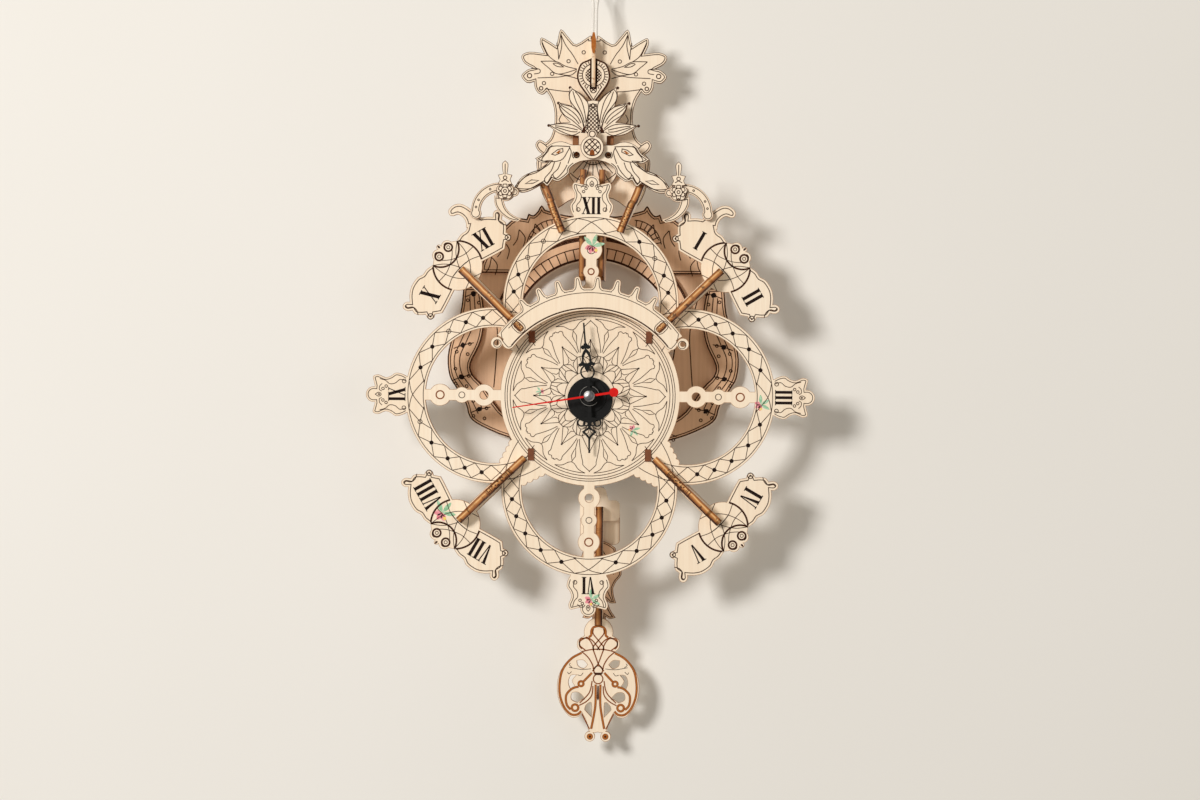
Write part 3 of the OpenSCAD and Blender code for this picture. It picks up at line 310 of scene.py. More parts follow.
def burnt(name, light, mid, char):
    """A laser-cut edge: plies across the board, the cross ply darker, with soot in patches."""
    surface = sheet(name)
    tree = surface[1]
    wobble = noise(tree, 160, 3)
    fold = tree.nodes.new("ShaderNodeMath")
    fold.operation = "PINGPONG"
    fold.inputs[1].default_value = 1.0
    link(tree, scaled(tree, wobble, 0.35, compared(tree, position(tree), (0, 1 / MM, 0))), fold.inputs[0])
    plies = ramp(tree, fold.outputs[0], (0.1, mid), (0.42, light), (0.9, light))
    soot = ramp(tree, noise(tree, 95, 5, 0.62), (0.5, 0), (0.72, 0.6))
    fine = ramp(tree, noise(tree, 900, 2), (0.45, 0), (0.8, 0.3))
    colour = mixed(tree, fine, mixed(tree, soot, plies, char), char)
    return coated(surface, colour, 0.55, 0.3, wobble, 0.3)


# Tones for boards seen on edge, from painted shade (dark) through mid and light to a painted highlight
# (pale).
STICK_TONES = ((0.05, 0.014, 0.004), (0.27, 0.092, 0.022), (0.55, 0.225, 0.058), (0.86, 0.54, 0.25))
RAIL_TONES = ((0.04, 0.012, 0.004), (0.2, 0.065, 0.016), (0.4, 0.16, 0.04), (0.54, 0.25, 0.08))
PALE_TONES = ((0.3, 0.13, 0.05), (0.62, 0.38, 0.21), (0.82, 0.62, 0.42), (0.9, 0.76, 0.58))


def stick(name, across, middle, tones):
    """A board seen on edge: a painted highlight along its upper arris, painted shade along its lower one,
    scorched bands across it and knots.
    """
    dark, mid, light, pale = tones
    surface = sheet(name)
    tree = surface[1]
    centre = sum(a * b for a, b in zip(across, middle)) / (PLY * MM)
    place = compared(tree, position(tree), tuple(c / (PLY * MM) for c in across))
    wander = noise(tree, 130, 4)
    shade_and_highlight = ramp(tree, scaled(tree, wander, 0.34, scaled(tree, place, 1.0, 0.33 - centre)),
                   (0.06, dark), (0.22, mid), (0.5, light), (0.7, pale), (0.82, light), (0.97, mid))
    lengthwise = compared(tree, position(tree, 150), (-across[2], 0, across[0]), "PROJECT", "Vector")
    bands = ramp(tree, noise(tree, None, 5, 0.7, lengthwise), (0.56, 0), (0.66, 0.75))
    knots = ramp(tree, noise(tree, 420, 2), (0.6, 0), (0.68, 0.8))
    colour = mixed(tree, knots, mixed(tree, bands, shade_and_highlight, mid), dark)
    return coated(surface, colour, 0.5, 0.3, wander, 0.35)


def plain(name, colour, other, rough, metallic=0.0, scale=900, strength=0.12, specular=0.4):
    """Paint, plastic or metal whose colour varies faintly between two tones, with a fine bump."""
    surface = sheet(name)
    grain = noise(surface[1], scale, 3)
    tone = ramp(surface[1], grain, (0.35, colour), (0.7, other))
    return coated(surface, tone, rough, specular, grain, strength, 0.00005, metallic)


FRONT = veneer("front_veneer", (0.925, 0.8, 0.64), (0.9, 0.745, 0.565), (0.72, 0.49, 0.31))
BACK = veneer("back_veneer", (0.8, 0.545, 0.365), (0.72, 0.465, 0.29), (0.47, 0.26, 0.145))
EDGE = burnt("edge_of_board", (0.44, 0.2, 0.07), (0.26, 0.095, 0.03), (0.035, 0.012, 0.006))
CHARRED_END = burnt("charred_end", (0.2, 0.06, 0.018), (0.11, 0.03, 0.01), (0.02, 0.008, 0.005))
ENGRAVED = plain("engraved_line", (0.04, 0.019, 0.01), (0.085, 0.042, 0.023), 0.8, specular=0.1)
STROKE = plain("burnt_stroke", (0.034, 0.011, 0.005), (0.075, 0.025, 0.01), 0.75, specular=0.1)
BOB_STROKE = plain("bob_stroke", (0.44, 0.15, 0.03), (0.34, 0.1, 0.02), 0.7, specular=0.1)
BOB_LINE = plain("bob_line", (0.2, 0.052, 0.011), (0.27, 0.078, 0.016), 0.7, specular=0.1)
CHAR = plain("scorched_outline", (0.04, 0.014, 0.006), (0.11, 0.04, 0.016), 0.7, specular=0.1)
TOAST = plain("toasted_outline", (0.36, 0.2, 0.105), (0.5, 0.31, 0.18), 0.7)
LEAF_PAINT = plain("leaf_paint", (0.2, 0.46, 0.24), (0.5, 0.7, 0.54), 0.6)
PETAL_PAINT = plain("petal_paint", (0.72, 0.16, 0.22), (0.85, 0.42, 0.45), 0.6)
BUD_PAINT = plain("bud_paint", (0.85, 0.6, 0.1), (0.9, 0.7, 0.25), 0.6)
INK = plain("numeral_ink", (0.01, 0.005, 0.004), (0.022, 0.011, 0.008), 0.7, specular=0.08)
BLACK_PAINT = plain("black_paint", (0.005, 0.005, 0.005), (0.009, 0.009, 0.009), 0.5, specular=0.14)
BLACK_PLASTIC = plain("black_plastic", (0.012, 0.012, 0.013), (0.02, 0.02, 0.021), 0.5, specular=0.25)
RED_PAINT = plain("red_paint", (0.7, 0.008, 0.005), (0.6, 0.006, 0.004), 0.45, specular=0.15)
STEEL = plain("steel", (0.74, 0.74, 0.75), (0.64, 0.64, 0.66), 0.2, 1.0)
# Grey metal for a painted glint on the hands' collar.
PAINTED_GLINT = plain("collar_painted_glint", (0.2, 0.19, 0.18), (0.3, 0.29, 0.27), 0.35, 0.7)
BRASS = plain("brass", (0.62, 0.44, 0.18), (0.54, 0.37, 0.14), 0.3, 1.0)
WHITE_PLASTIC = plain("white_plastic", (0.8, 0.77, 0.7), (0.74, 0.71, 0.64), 0.45)
SLEEVE = plain("battery_sleeve", (0.06, 0.22, 0.1), (0.05, 0.18, 0.08), 0.25)
COPPER = plain("copper_coil", (0.5, 0.2, 0.08), (0.36, 0.13, 0.05), 0.35, 0.8, 3000, 0.5)
BOARD = plain("circuit_board", (0.02, 0.14, 0.05), (0.03, 0.18, 0.07), 0.4)
CORD = plain("cord_fibre", (0.88, 0.85, 0.8), (0.76, 0.72, 0.66), 0.85, 0.0, 2500, 0.6)


def dress(node, *choices):
    """Gives each face of a node the first material whose test of the normal it passes."""
    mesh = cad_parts[node].data
    mesh.materials.clear()
    for material, _ in choices:
        mesh.materials.append(material)
    for polygon in mesh.polygons:
        for index, (_, test) in enumerate(choices):
            if test is None or test(polygon.normal):
                polygon.material_index = index
                break


def dress_board(node, face, edge, axis=(0, 1, 0)):
    """The wide faces of a board are veneer, and its narrow ones are burnt edges."""
    way = Vector(axis).normalized()
    dress(node, (face, lambda n: abs(n.dot(way)) > 0.8), (edge, None))


def both(*names):
    return [f"{name}_{side}" for name in names for side in ("left", "right")]


BACK_BOARDS = ["back_plate", "back_border", "brick_ring", "scalloped_board"]
SCORCHED = ["crown_back", "crown_front", "crown_bulb", "pineapple_ring", "keystone_fan", "swag_plate",
            *both("rosette"), "pendulum_leaves"]
TOASTED = [DIAL, "toothed_arch", *both("scroll_plate"), *PLATE_ANGLES, "pendulum_bob",
           "pendulum_plate_lower"]
for name in SCORCHED + TOASTED + ["pendulum_plate_upper"]:
    dress_board(name, FRONT, EDGE)
for name in BACK_BOARDS + ["pendulum_leaves"]:
    dress_board(name, BACK, EDGE)
dress_board("crown_spacer", EDGE, EDGE)

# Boards that stand on edge, with the angles at which they lean
TO_LIGHT = (-0.5, 0, 0.8)
BRACKET_LEAN = 68
RAILS = both("rail")
EDGE_ON = {name: 90 for name in RAILS + both("bay_side") + ["crown_spine", "pendulum_rod"]}
STICKS = {"rib_upper_left": 180 - DIAG_ANGLE, "rib_upper_right": DIAG_ANGLE,
          "rib_lower_left": 180 + DIAG_ANGLE, "rib_lower_right": -DIAG_ANGLE,
          "top_bracket_left": 180 - BRACKET_LEAN, "top_bracket_right": BRACKET_LEAN}
TONES = {"crown_spine": PALE_TONES, "pendulum_rod": RAIL_TONES, **dict.fromkeys(RAILS, RAIL_TONES)}


def across_axis(angle):
    """The way across a board that stands edge on and leans at this angle, towards its lit side."""
    a = math.radians(angle)
    axis = (-math.sin(a), 0, math.cos(a))
    lit = sum(p * q for p, q in zip(axis, TO_LIGHT)) >= 0
    return axis if lit else tuple(-p for p in axis)


for name, angle in {**EDGE_ON, **STICKS}.items():
    axis = across_axis(angle)
    middle = [(a + b) / 2 for a, b in zip(*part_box(name))]
    material = stick(f"stick_{name}", axis, middle, TONES.get(name, STICK_TONES))
    if name.startswith("bay_side"):
        dress(name, (FRONT, lambda n: abs(n.x) > 0.8), (CHARRED_END, lambda n: n.y < -0.8), (material, None))
    else:
        # The rails' wide faces take the darker back veneer, which paints shade on them.
        dress_board(name, BACK if name in RAILS else FRONT, material, axis)

ONE_MATERIAL = (
    (BLACK_PLASTIC, "case_front case_back setting_knob pendulum_drive"), (SLEEVE, "battery"),
    (STEEL, "battery_contacts second_arbor hand_cap pendulum_hanger"), (COPPER, "stepper_module"),
    (BOARD, "circuit_board"), (BRASS, "threaded_bush"), (RED_PAINT, "second_hand"),
    (BLACK_PAINT, "dial_washer dial_nut hour_hand minute_hand"),
    (WHITE_PLASTIC, "hour_wheel centre_wheel minute_wheel third_wheel"),
)
for material, names in ONE_MATERIAL:
    for name in names.split():
        dress(name, (material, None))
cord_piece.data.materials.append(CORD)

# Cap of the hands: a smooth dome in place of the CAD's faceted one, whose metal has a painted highlight and
# a painted reflection
# The way towards the key lamp, where the cap's painted highlight sits.
CAP_LIGHT = (-0.42, -0.84, 0.34)
CAP_SIDES = 48
CAP_SHOULDER = 0.7


def painted_highlight_metal(name):
    """Metal with a painted reflection, darkest where it faces straight ahead, and a painted highlight where
    it faces the light.
    """
    surface = sheet(name)
    tree = surface[1]
    face = tree.nodes.new("ShaderNodeNewGeometry")
    tones = ramp(tree, compared(tree, face.outputs["Normal"], CAP_LIGHT), (0.20, (0.42, 0.42, 0.43)),
                 (0.55, (0.10, 0.10, 0.11)), (0.86, (0.16, 0.16, 0.17)), (0.93, (0.92, 0.92, 0.93)))
    return coated(surface, tones, 0.22, 0.5, noise(tree, 900, 2), 0.05, 0.00005, 0.4)


def make_cap():
    low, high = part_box("hand_cap")
    back, front, r = -high[1] / MM, -low[1] / MM, (high[0] - low[0]) / 2 / MM
    shoulder = back + CAP_SHOULDER
    profile = [(r, back), (r, shoulder)]
    angles = np.radians(range(8, 90, 8))
    profile += [(r * math.cos(a), shoulder + (front - shoulder) * math.sin(a)) for a in angles]
    vertices = []
    for radius, depth in profile:
        vertices += [at(*polar(radius, 360 * k / CAP_SIDES), depth) for k in range(CAP_SIDES)]
    foot, last = len(vertices), len(vertices) - CAP_SIDES
    vertices += [at(0, 0, back), at(0, 0, front)]
    faces = tube(len(profile), CAP_SIDES)
    for k in range(CAP_SIDES):
        m = (k + 1) % CAP_SIDES
        faces += [(foot, m, k), (foot + 1, last + k, last + m)]
    cap = add_piece("cap_painted_highlight", vertices, faces, "second", painted_highlight_metal("cap_painted_highlight"))
    cap.data.shade_smooth()
    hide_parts("hand_cap")


# Lines and marks on the boards. They stand proud of a face and are sunk into it.
PROUD = 0.05
SUNK = 0.05
DOT_PROUD = 0.07

# Points nearer than MERGED are one, and a line whose ends are nearer than JOINED is closed.
MERGED = 0.02
JOINED = 0.05
RIM_STEP = 0.7
RIM_CLEAR = 0.93

# Widths of the engraved lines. Those that aren't listed have LINE_WIDTH.
LINE_WIDTH = 0.44
WIDTHS = {
    "dial_lines": 0.35, "hour_hand_painted_glints": 0.26, "ring_lines": 0.36, "arm_holes_painted_shade": 0.62, "plate_arcs": 0.36,
    "plate_strokes": 0.92, "tab_lines": 0.37, "arch_lines": 0.35, "crown_lines": 0.42, "crown_rings": 0.50,
    "bulb_outline": 0.80, "pineapple_lines": 0.52, "scroll_lines_left": 0.38, "scroll_lines_right": 0.38,
    "rosette_lines_left": 0.42, "rosette_lines_right": 0.42, "brick_lines": 0.54, "border_lines": 0.50,
    "back_lines": 0.56, "scallop_lines": 0.50, "bob_stroke_edges": 1.16, "bob_strokes": 0.66,
    "bob_lines": 0.60, "bob_hairlines": 0.30, "leaf_lines": 0.42,
}


def offsets(line, closed, half):
    """Points on both sides of a line, mitred where it bends."""
    p = np.array(line, float)
    if closed:
        before, after = np.roll(p, 1, axis=0), np.roll(p, -1, axis=0)
    else:
        before, after = np.vstack([p[:1], p[:-1]]), np.vstack([p[1:], p[-1:]])

    def unit(v):
        size = np.linalg.norm(v, axis=1, keepdims=True)
        return np.divide(v, size, out=np.zeros_like(v), where=size > 1e-9)

    first, second = unit(p - before), unit(after - p)
    if not closed:
        first[0], second[-1] = second[0], first[-1]
    way = unit(first + second)
    spread = np.clip(np.abs((way * second).sum(axis=1, keepdims=True)), 0.5, 1)
    side = np.stack([-way[:, 1], way[:, 0]], axis=1) * half / spread
    return p + side, p - side


def add_mark(name, vertices, faces, board, material):
    """A piece that rides on a board's body."""
    body = "pendulum" if board.startswith("pendulum") else "hour" if board == "hour_hand" else "frame"
    piece = add_piece(name, vertices, faces, body, material)


def engrave(name, lines, board, material=ENGRAVED, width=None, lift=0.0):
    """Narrow closed strips along lines on a board's face."""
    depth = face_depth(board) + lift
    vertices, faces = [], []
    for line in lines:
        line = [q for i, q in enumerate(line) if i == 0 or math.dist(q, line[i - 1]) > MERGED]
        if len(line) < 2:
            continue
        closed = len(line) > 3 and math.dist(line[0], line[-1]) < JOINED
        if closed:
            line = line[:-1]
        left, right = offsets(line, closed, (width or WIDTHS.get(name, LINE_WIDTH)) / 2)
        n, base = len(line), len(vertices)
        for (lx, lz), (rx, rz) in zip(left, right):
            vertices += [at(lx, lz, depth + PROUD), at(rx, rz, depth + PROUD),
                         at(rx, rz, depth - SUNK), at(lx, lz, depth - SUNK)]
        for i in range(n if closed else n - 1):
            a, b = base + 4 * i, base + 4 * ((i + 1) % n)
            faces += [(a + k, a + (k + 1) % 4, b + (k + 1) % 4, b + k) for k in range(4)]
        if not closed:
            last = base + 4 * (n - 1)
            faces += [(base + 3, base + 2, base + 1, base), (last, last + 1, last + 2, last + 3)]
    add_mark(name, vertices, faces, board, material)


def fill(name, outlines, board, material, proud=DOT_PROUD):
    """Thin closed plates on a board's face."""
    depth = face_depth(board)
    vertices, faces = [], []
    for outline in outlines:
        if math.dist(outline[0], outline[-1]) < MERGED:
            outline = outline[:-1]
        area = sum(a[0] * b[1] - a[1] * b[0] for a, b in zip(outline, outline[1:] + outline[:1]))
        if area > 0:
            outline = outline[::-1]
        n, base = len(outline), len(vertices)
        for level in (depth + proud, depth - SUNK):
            vertices += [at(x, z, level) for x, z in outline]
        faces += [tuple(range(base + n - 1, base - 1, -1)), tuple(range(base + n, base + 2 * n))]
        for i in range(n):
            j = (i + 1) % n
            faces.append((base + i, base + j, base + n + j, base + n + i))
    add_mark(name, vertices, faces, board, material)


def front_loops(node, least=7):
    """The outlines of a board's front face, in mm of the drawing, with the wood on their left."""
    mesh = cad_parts[node].data
    low = min(v.co.y for v in mesh.vertices)
    key = lambda i: (round(mesh.vertices[i].co.x, 6), round(mesh.vertices[i].co.z, 6))
    edges = set()
    for polygon in mesh.polygons:
        if polygon.normal.y > -0.9 or mesh.vertices[polygon.vertices[0]].co.y > low + 1e-5:
            continue
        ids = [key(i) for i in polygon.vertices]
        edges.update(zip(ids, ids[1:] + ids[:1]))
    onward = {}
    for a, b in edges:
        if (b, a) not in edges and a != b:
            onward.setdefault(a, []).append(b)
    loops = []
    while onward:
        start = next(iter(onward))
        loop, here = [start], start
        while here in onward:
            following = onward[here].pop()
            if not onward[here]:
                del onward[here]
            if following == start:
                break
            loop.append(following)
            here = following
        loops.append([(x / MM, z / MM + HANG_DROP) for x, z in loop])
    return [loop for loop in loops if len(loop) >= least]


def rim(node, inset, keep=None, clearance=RIM_CLEAR):
    """Lines at a distance inside a board's outline, without the stretches that would cross."""
    lines = []
    for loop in front_loops(node):
        p = np.array(loop)
        dense = []
        for a, b in zip(p, np.roll(p, -1, axis=0)):
            count = max(1, int(np.linalg.norm(b - a) / RIM_STEP))
            dense += [a + (b - a) * k / count for k in range(count)]
        q = np.array(dense)
        left, _ = offsets(q, True, inset)
        gap = np.linalg.norm(left[:, None, :] - q[None, :, :], axis=2).min(axis=1)
        good = gap > inset * clearance
        run = []
        for point, fine in zip(list(left) + [left[0]], list(good) + [good[0]]):
            wanted = keep is None or keep(point[0], point[1])
            if wanted and fine:
                run.append(tuple(point))
            elif not wanted and run:
                lines.append(run)
                run = []
        lines.append(run)
    return [line for line in lines if len(line) > 3]


make_cap()


# Dial: three circles and a rose of twelve petals, twelve kites and twelve rim leaves
def mirrored_about(points, angle):
    """Polar points (r, offset) on both sides of an angle, out along one side and back along the other."""
    return [polar(r, angle + o) for r, o in points] + [polar(r, angle - o) for r, o in reversed(points)]


PETAL = [(22.2, 13.4), (26.5, 10.4), (31, 7.2), (33.2, 5.8)]
POINTED = PETAL + [(34.6, 5.4), (36.2, 2.6), (37.6, 0)]
WAVY = PETAL + [(34.8, 6.2), (35.7, 4.6), (35.4, 2.6), (36.4, 1), (36.1, 0)]
STAR = ((22.6, 0), (20, 2.2), (19.4, 6.6), (18.4, 2.2), (16.2, 0), (18.4, -2.2), (19.4, -6.6),
        (20, -2.2))
RIM_LEAF = ((38.6, -11.8), (37.2, -6.6), (35, -3), (34.2, 0), (35, 3), (37.2, 6.6), (38.6, 11.8))
lines = [ring((0, 0), r, 5) for r in (42.6, 41.5, 40)]
for k in range(12):
    a = 30 * k
    b = a + 15
    lines.append(curve(mirrored_about(WAVY if k % 3 else POINTED, a), 3))
    tip, foot, left, right = polar(28, a), polar(12.6, a), polar(20.4, a - 11), polar(20.4, a + 11)
    star = [polar(r, a + o) for r, o in STAR]
    lines += [[foot, left, tip, right, foot], star + star[:1]]
    lines += [[tip, star[0]], [right, star[2]], [foot, star[4]], [left, star[6]]]
    lines += [[right, polar(20.4, b + 4)], [polar(17.2, b), polar(20.4, b)]]
    scallop = [foot, polar(15.4, a + 6), polar(17.2, b), polar(15.4, b + 9), polar(12.6, a + 30)]
    lines.append(curve(scallop, 3))
    lines.append(curve([polar(r, b + o) for r, o in RIM_LEAF], 3))
    lines.append(arc((0, 0), 38.6, b - 11.8, b + 11.8))
    lines.append(mirrored_about([(33.6, 0), (31.2, 1.9), (29.4, 1.4), (26.8, 0)], b))
    lines += [[polar(34.2, b), polar(33.6, b)], [polar(26.8, b), polar(22.6, b)]]
lines.append(ring((0, 0), 12.6))
engrave("dial_lines", lines, DIAL)
fill("dial_dots", [ring(polar(28, 30 * k), 0.46, 40) for k in range(12)], DIAL, INK)
# Broken grey arcs round the hour hand's hub: a painted glint on the hand's collar.
engrave("hour_hand_painted_glints", [arc((0, 0), 4.85, 130, 345), arc((0, 0), 4.85, 15, 70)], "hour_hand", PAINTED_GLINT)

# Rings: a line near each edge, dots between them and lines that cross at every dot
RING_CENTRES = {0: (0, RING_UP), 90: (RING_SIDE, 0), 180: (0, -RING_UP), 270: (-RING_SIDE, 0)}
BORDER_IN, BORDER_OUT, DOT_R = 35.1, 42.8, 39
RING_DOT = 1.08
DOT_ANGLES = (20.4, 38, 54.7, 69, 82)
CROSS_ANGLES = (9.5, 29.2, 46.4, 61.9, 75.5, 89)
HOLLOW = {(0, -1, 1), (0, -1, 2), (0, 1, 2), (270, 1, 2), (270, -1, 0)}
lines, dots, eyes = [], [], []
for middle, centre in RING_CENTRES.items():
    for r, reach in ((BORDER_IN, 128), (BORDER_OUT, 124)):
        lines.append(arc(centre, r, middle - reach, middle + reach))
    for side in (-1, 1):
        here = lambda r, a: polar(r, middle + side * a, centre)
        for k, a in enumerate(DOT_ANGLES):
            dot = here(DOT_R, a)
            (lines if (middle, side, k) in HOLLOW else dots).append(ring(dot, RING_DOT, 30))
            for border in (BORDER_IN, BORDER_OUT):
                lines += [[here(border, b), dot] for b in CROSS_ANGLES[k:k + 2]]
        for start, end in ((BORDER_OUT, BORDER_IN), (BORDER_IN, BORDER_OUT)):
            lines.append([here(start, 89), here(DOT_R, 95.5), here(end, 102)])
        lines.append(curve([here(BORDER_OUT, 9.5), here(40.4, 0), here(BORDER_IN, -12.5)], 4))
# One thick brown ring on each arm is painted shade of a hole through the board; the other rings are plain
# engraved lines.
for middle, centre in RING_CENTRES.items():
    for offset, r in ((15.7, 1.5), (26.6, 2)):
        (eyes if (offset > 20) == (middle > 0) else lines).append(ring(polar(offset, middle, centre), r))
engrave("ring_lines", lines, DIAL)
engrave("arm_holes_painted_shade", eyes, DIAL, BOB_LINE)
fill("ring_dots", dots, DIAL, INK)


# Numerals with serifs, drawn upright on a base line
def box(x0, z0, x1, z1):
    return [(x0, z0), (x1, z0), (x1, z1), (x0, z1)]


def glyph(kind, h):
    """(outlines, width) of one letter of height h."""
    thick, thin, serif = h * 0.165, h * 0.055, h * 0.045
    if kind == "I":
        w = h * 0.27
        return [box((w - thick) / 2, 0, (w + thick) / 2, h), box(0, 0, w, serif), box(0, h - serif, w, h)], w
    w = h * 0.47
    if kind == "V":
        foot = w * 0.56
        return [[(w * 0.06, h), (w * 0.06 + thick, h), (foot + thin / 2, 0), (foot - thin / 2, 0)],
                [(w * 0.92 - thin, h), (w * 0.92, h), (foot + thin, 0), (foot, 0)],
                box(-w * 0.06, h - serif, w * 0.52, h), box(w * 0.7, h - serif, w * 1.06, h)], w
    return [[(0, h), (thick * 1.1, h), (w, 0), (w - thick * 1.1, 0)],
            [(w - thin, h), (w, h), (thin, 0), (0, 0)],
            box(-w * 0.1, h - serif, w * 0.5, h), box(w * 0.66, h - serif, w * 1.08, h),
            box(-w * 0.08, 0, w * 0.34, serif), box(w * 0.5, 0, w * 1.1, serif)], w


def numeral(word, centre, angle, h):
    """Outlines of a number centred on a point, with its top turned clockwise by the angle."""
    outlines, x, space = [], 0, h * 0.04
    for letter in word:
        parts, w = glyph(letter, h)
        outlines += shifted(parts, x, 0)
        x += w + space
    outlines = shifted(outlines, centre[0] - (x - space) / 2, centre[1] - h / 2)
    return turned(outlines, angle, centre)


TAB_NUMERAL_H = 8.6
PLATE_NUMERAL_H = 9.8
TAB_NUMERALS = (("XII", 0, 95.2), ("III", 90, 96.8), ("VI", 180, 94.8), ("IX", 270, 96.8))
NEAR_TOP, NEAR_SIDE = (54.2, 78.1), (80.85, 50.05)
PLATE_NUMERALS = {"I": 30, "II": 60, "IV": 120, "V": 150, "VII": 210, "VIII": 240, "X": 300, "XI": 330}
on_tabs, on_plates = [], []
for word, angle, reach in TAB_NUMERALS:
    on_tabs += numeral(word, polar(reach, angle), angle, TAB_NUMERAL_H)
for word, angle in PLATE_NUMERALS.items():
    x, z = NEAR_TOP if angle % 60 else NEAR_SIDE
    centre = (math.copysign(x, 180 - angle), math.copysign(z, math.cos(math.radians(angle))))
    on_plates += numeral(word, centre, angle, PLATE_NUMERAL_H)
fill("tab_numerals", on_tabs, DIAL, INK, PROUD)
fill("plate_numerals", on_plates, NUMBER, INK, PROUD)

# Number plates, drawn with X along the plate and Y outwards: contours, a crescent, balls and crossing arcs
DISC_LINE_R = 12.4
BALLS = ((-3.25, 9.85), (3.25, 9.85))
CURL = (27.7, -8.1)
contour, arcs, strokes, dots = [], [], [], []
thin = curves(
    5, [(-8.6, 8.9), (-3.6, 4.8), (0.2, -1.5), (1.4, -8), (0.8, -12)],
    [(-8.6, 8.9), (-7.8, 2.5), (-4.8, -4), (0.2, -8.8), (5.4, -11)],
    [(-12.2, 1.2), (-6.2, 1.6), (0, 4.4), (3.6, 7.4)],
    [(-11.4, -4.6), (-6, -2.2), (0, -1.6), (6, -2.2)])
thick = [arc((0, 0), DISC_LINE_R, start, start + 74) for start in (47, -121)]
thick.append(arc((0, 12.05), 9.2, 110, 250))
curls = [ring(CURL, 1.4, 15), curve([(31.6, -3.2), (30.4, -1), (30.6, 1.6), (32.6, 3.2), (32.6, 4.6)], 4)]
drop = curve([(0, 12.4), (0.55, 13.2), (0, 14.4), (-0.55, 13.2), (0, 12.4)], 3)
for node, angle in PLATE_ANGLES.items():
    centre = polar(NUMBER_S, angle)
    place = lambda lines: shifted(turned(lines, angle), *centre)
    clear = lambda x, z: math.dist((x, z), centre) > DISC_LINE_R and math.hypot(x, z) > 80
    contour += rim(node, 1.25, clear)
    contour += place(flipped(curls))
    arcs += place(flipped(thin) + [ring(ball, 0.8, 20) for ball in BALLS])
    strokes += place(thick + [ring(ball, 2, 12) for ball in BALLS])
    dots += place([drop] + flipped([ring(CURL, 0.5, 40)]))
engrave("plate_contours", contour, NUMBER)
engrave("plate_arcs", arcs, NUMBER)
engrave("plate_strokes", strokes, NUMBER, STROKE)
fill("plate_dots", dots, NUMBER, STROKE)

# Tabs at the dial's four ends: a contour, curls and a small egg
lines = rim(DIAL, 1.05, lambda x, z: max(abs(x), abs(z)) > 91.8)
half = curves(4, [(7.8, 105.4), (7, 102.6), (5.3, 100.4), (5.7, 97.6), (7.5, 95.2), (6.7, 92.2)],
              [(1.6, 104.4), (2.4, 105.6), (4.2, 105.4), (5.4, 104.2)])
half += [ring((2.9, 103.8), 0.65, 30), ring((4.1, 102.2), 0.65, 30), ring((6.7, 93.2), 0.95, 24)]
egg = [(0, 107.6), (0.9, 106.4), (0.8, 105.3), (0, 104.7), (-0.8, 105.3), (-0.9, 106.4), (0, 107.6)]
for angle in (0, 90, 180, 270):
    lines += turned(flipped(half) + [curve(egg, 4), ring((0, 105.8), 0.35, 45)], angle)
engrave("tab_lines", lines, DIAL)

# Arch: a contour that closes round its eyelets, and two long arcs
ARCH_EYELET = (46.1, 25.8)
lines = rim("toothed_arch", 0.95, lambda x, z: math.dist((abs(x), z), ARCH_EYELET) > 5.4)
lines = [line for line in lines if len(line) > 12]
for side in (-1, 1):
    eyelet = (side * ARCH_EYELET[0], ARCH_EYELET[1])
    ends = sorted((p for line in lines for p in (line[0], line[-1])), key=lambda p: math.dist(p, eyelet))[:2]
    between = tuple(np.array(ends[0]) * 0.5 + np.array(ends[1]) * 0.5 + (side * 0.8, -0.5))
    lines += [curve([ends[0], between, ends[1]], 5), ring(eyelet, 1.9, 15)]
lines += [arc((0, -5.7), 49.7, -52, 52, 3), arc((0, -3.1), 54.6, -48, 48, 3)]
engrave("arch_lines", lines, "toothed_arch")

# Crown: contours, leaf shapes and rings
lines = rim("crown_back", 1, lambda x, z: z > 103)
leaves = curves(
    5, [(16.9, 182.2), (16.4, 176), (17.9, 169.2)],
    [(16.7, 181.4), (14.4, 176.4), (10.8, 171.5), (8.1, 166.9)],
    [(26.4, 178), (24.6, 174), (22.6, 170.6), (19.3, 168.1)],
    [(8.7, 164.4), (14.4, 165.8), (19.3, 168.1), (26.8, 168.2)],
    [(8.7, 164.2), (18.1, 161.8), (23.5, 165.4), (26.8, 168.2)], [(8.7, 163.6), (12, 161.2), (18.1, 161.8)],
    [(8.6, 159.6), (13.8, 160.9), (18, 160.3), (28.4, 159.8)], [(8.4, 153), (15.4, 153.2), (24.6, 154.4)])
leaves += curves(
    4, [(18.9, 177.6), (18.2, 173.4), (17.9, 169.2)],
    [(15.3, 165.4), (18.4, 167.2), (20.6, 167), (18.4, 165.6), (15.3, 165.4)],
    [(31.6, 164.6), (27.6, 164.2), (27.4, 162.4), (30.2, 161.8)],
    [(16, 141.6), (17.4, 138.8), (16.4, 137), (18.4, 136.6)],
    [(24.6, 126.4), (21.6, 124), (19.4, 126.4), (15.8, 127.4), (13.4, 126.6)],
    [(26.2, 117), (26.4, 110), (24, 102.6), (19.8, 97)])
leaves += [ring(c, 0.85, 20) for c in ((5.3, 172.8), (12.9, 168.3), (21.1, 161.9), (25.2, 157.2))]
engrave("crown_lines", lines + flipped(leaves), "crown_back")
rings = [ring((32.5, 160.9), 1.1, 20), ring((26.6, 154.6), 0.9, 20)]
engrave("crown_rings", flipped(rings), "crown_back", STROKE)
tips = [ring(tip, 0.75, 40) for tip in ((12, 155), (17.8, 147.2), (22.6, 135.9))]
fill("crown_tips", flipped(tips), "crown_back", STROKE)
tip = [(-0.4, 171.8), (0.4, 171.8), (1.15, 174.8), (1.2, 178.6), (0.5, 182.4), (-0.5, 182.4), (-1.2, 178.6),
       (-1.15, 174.8)]
fill("spine_tip", [tip], "crown_spine", BOB_STROKE, PROUD)


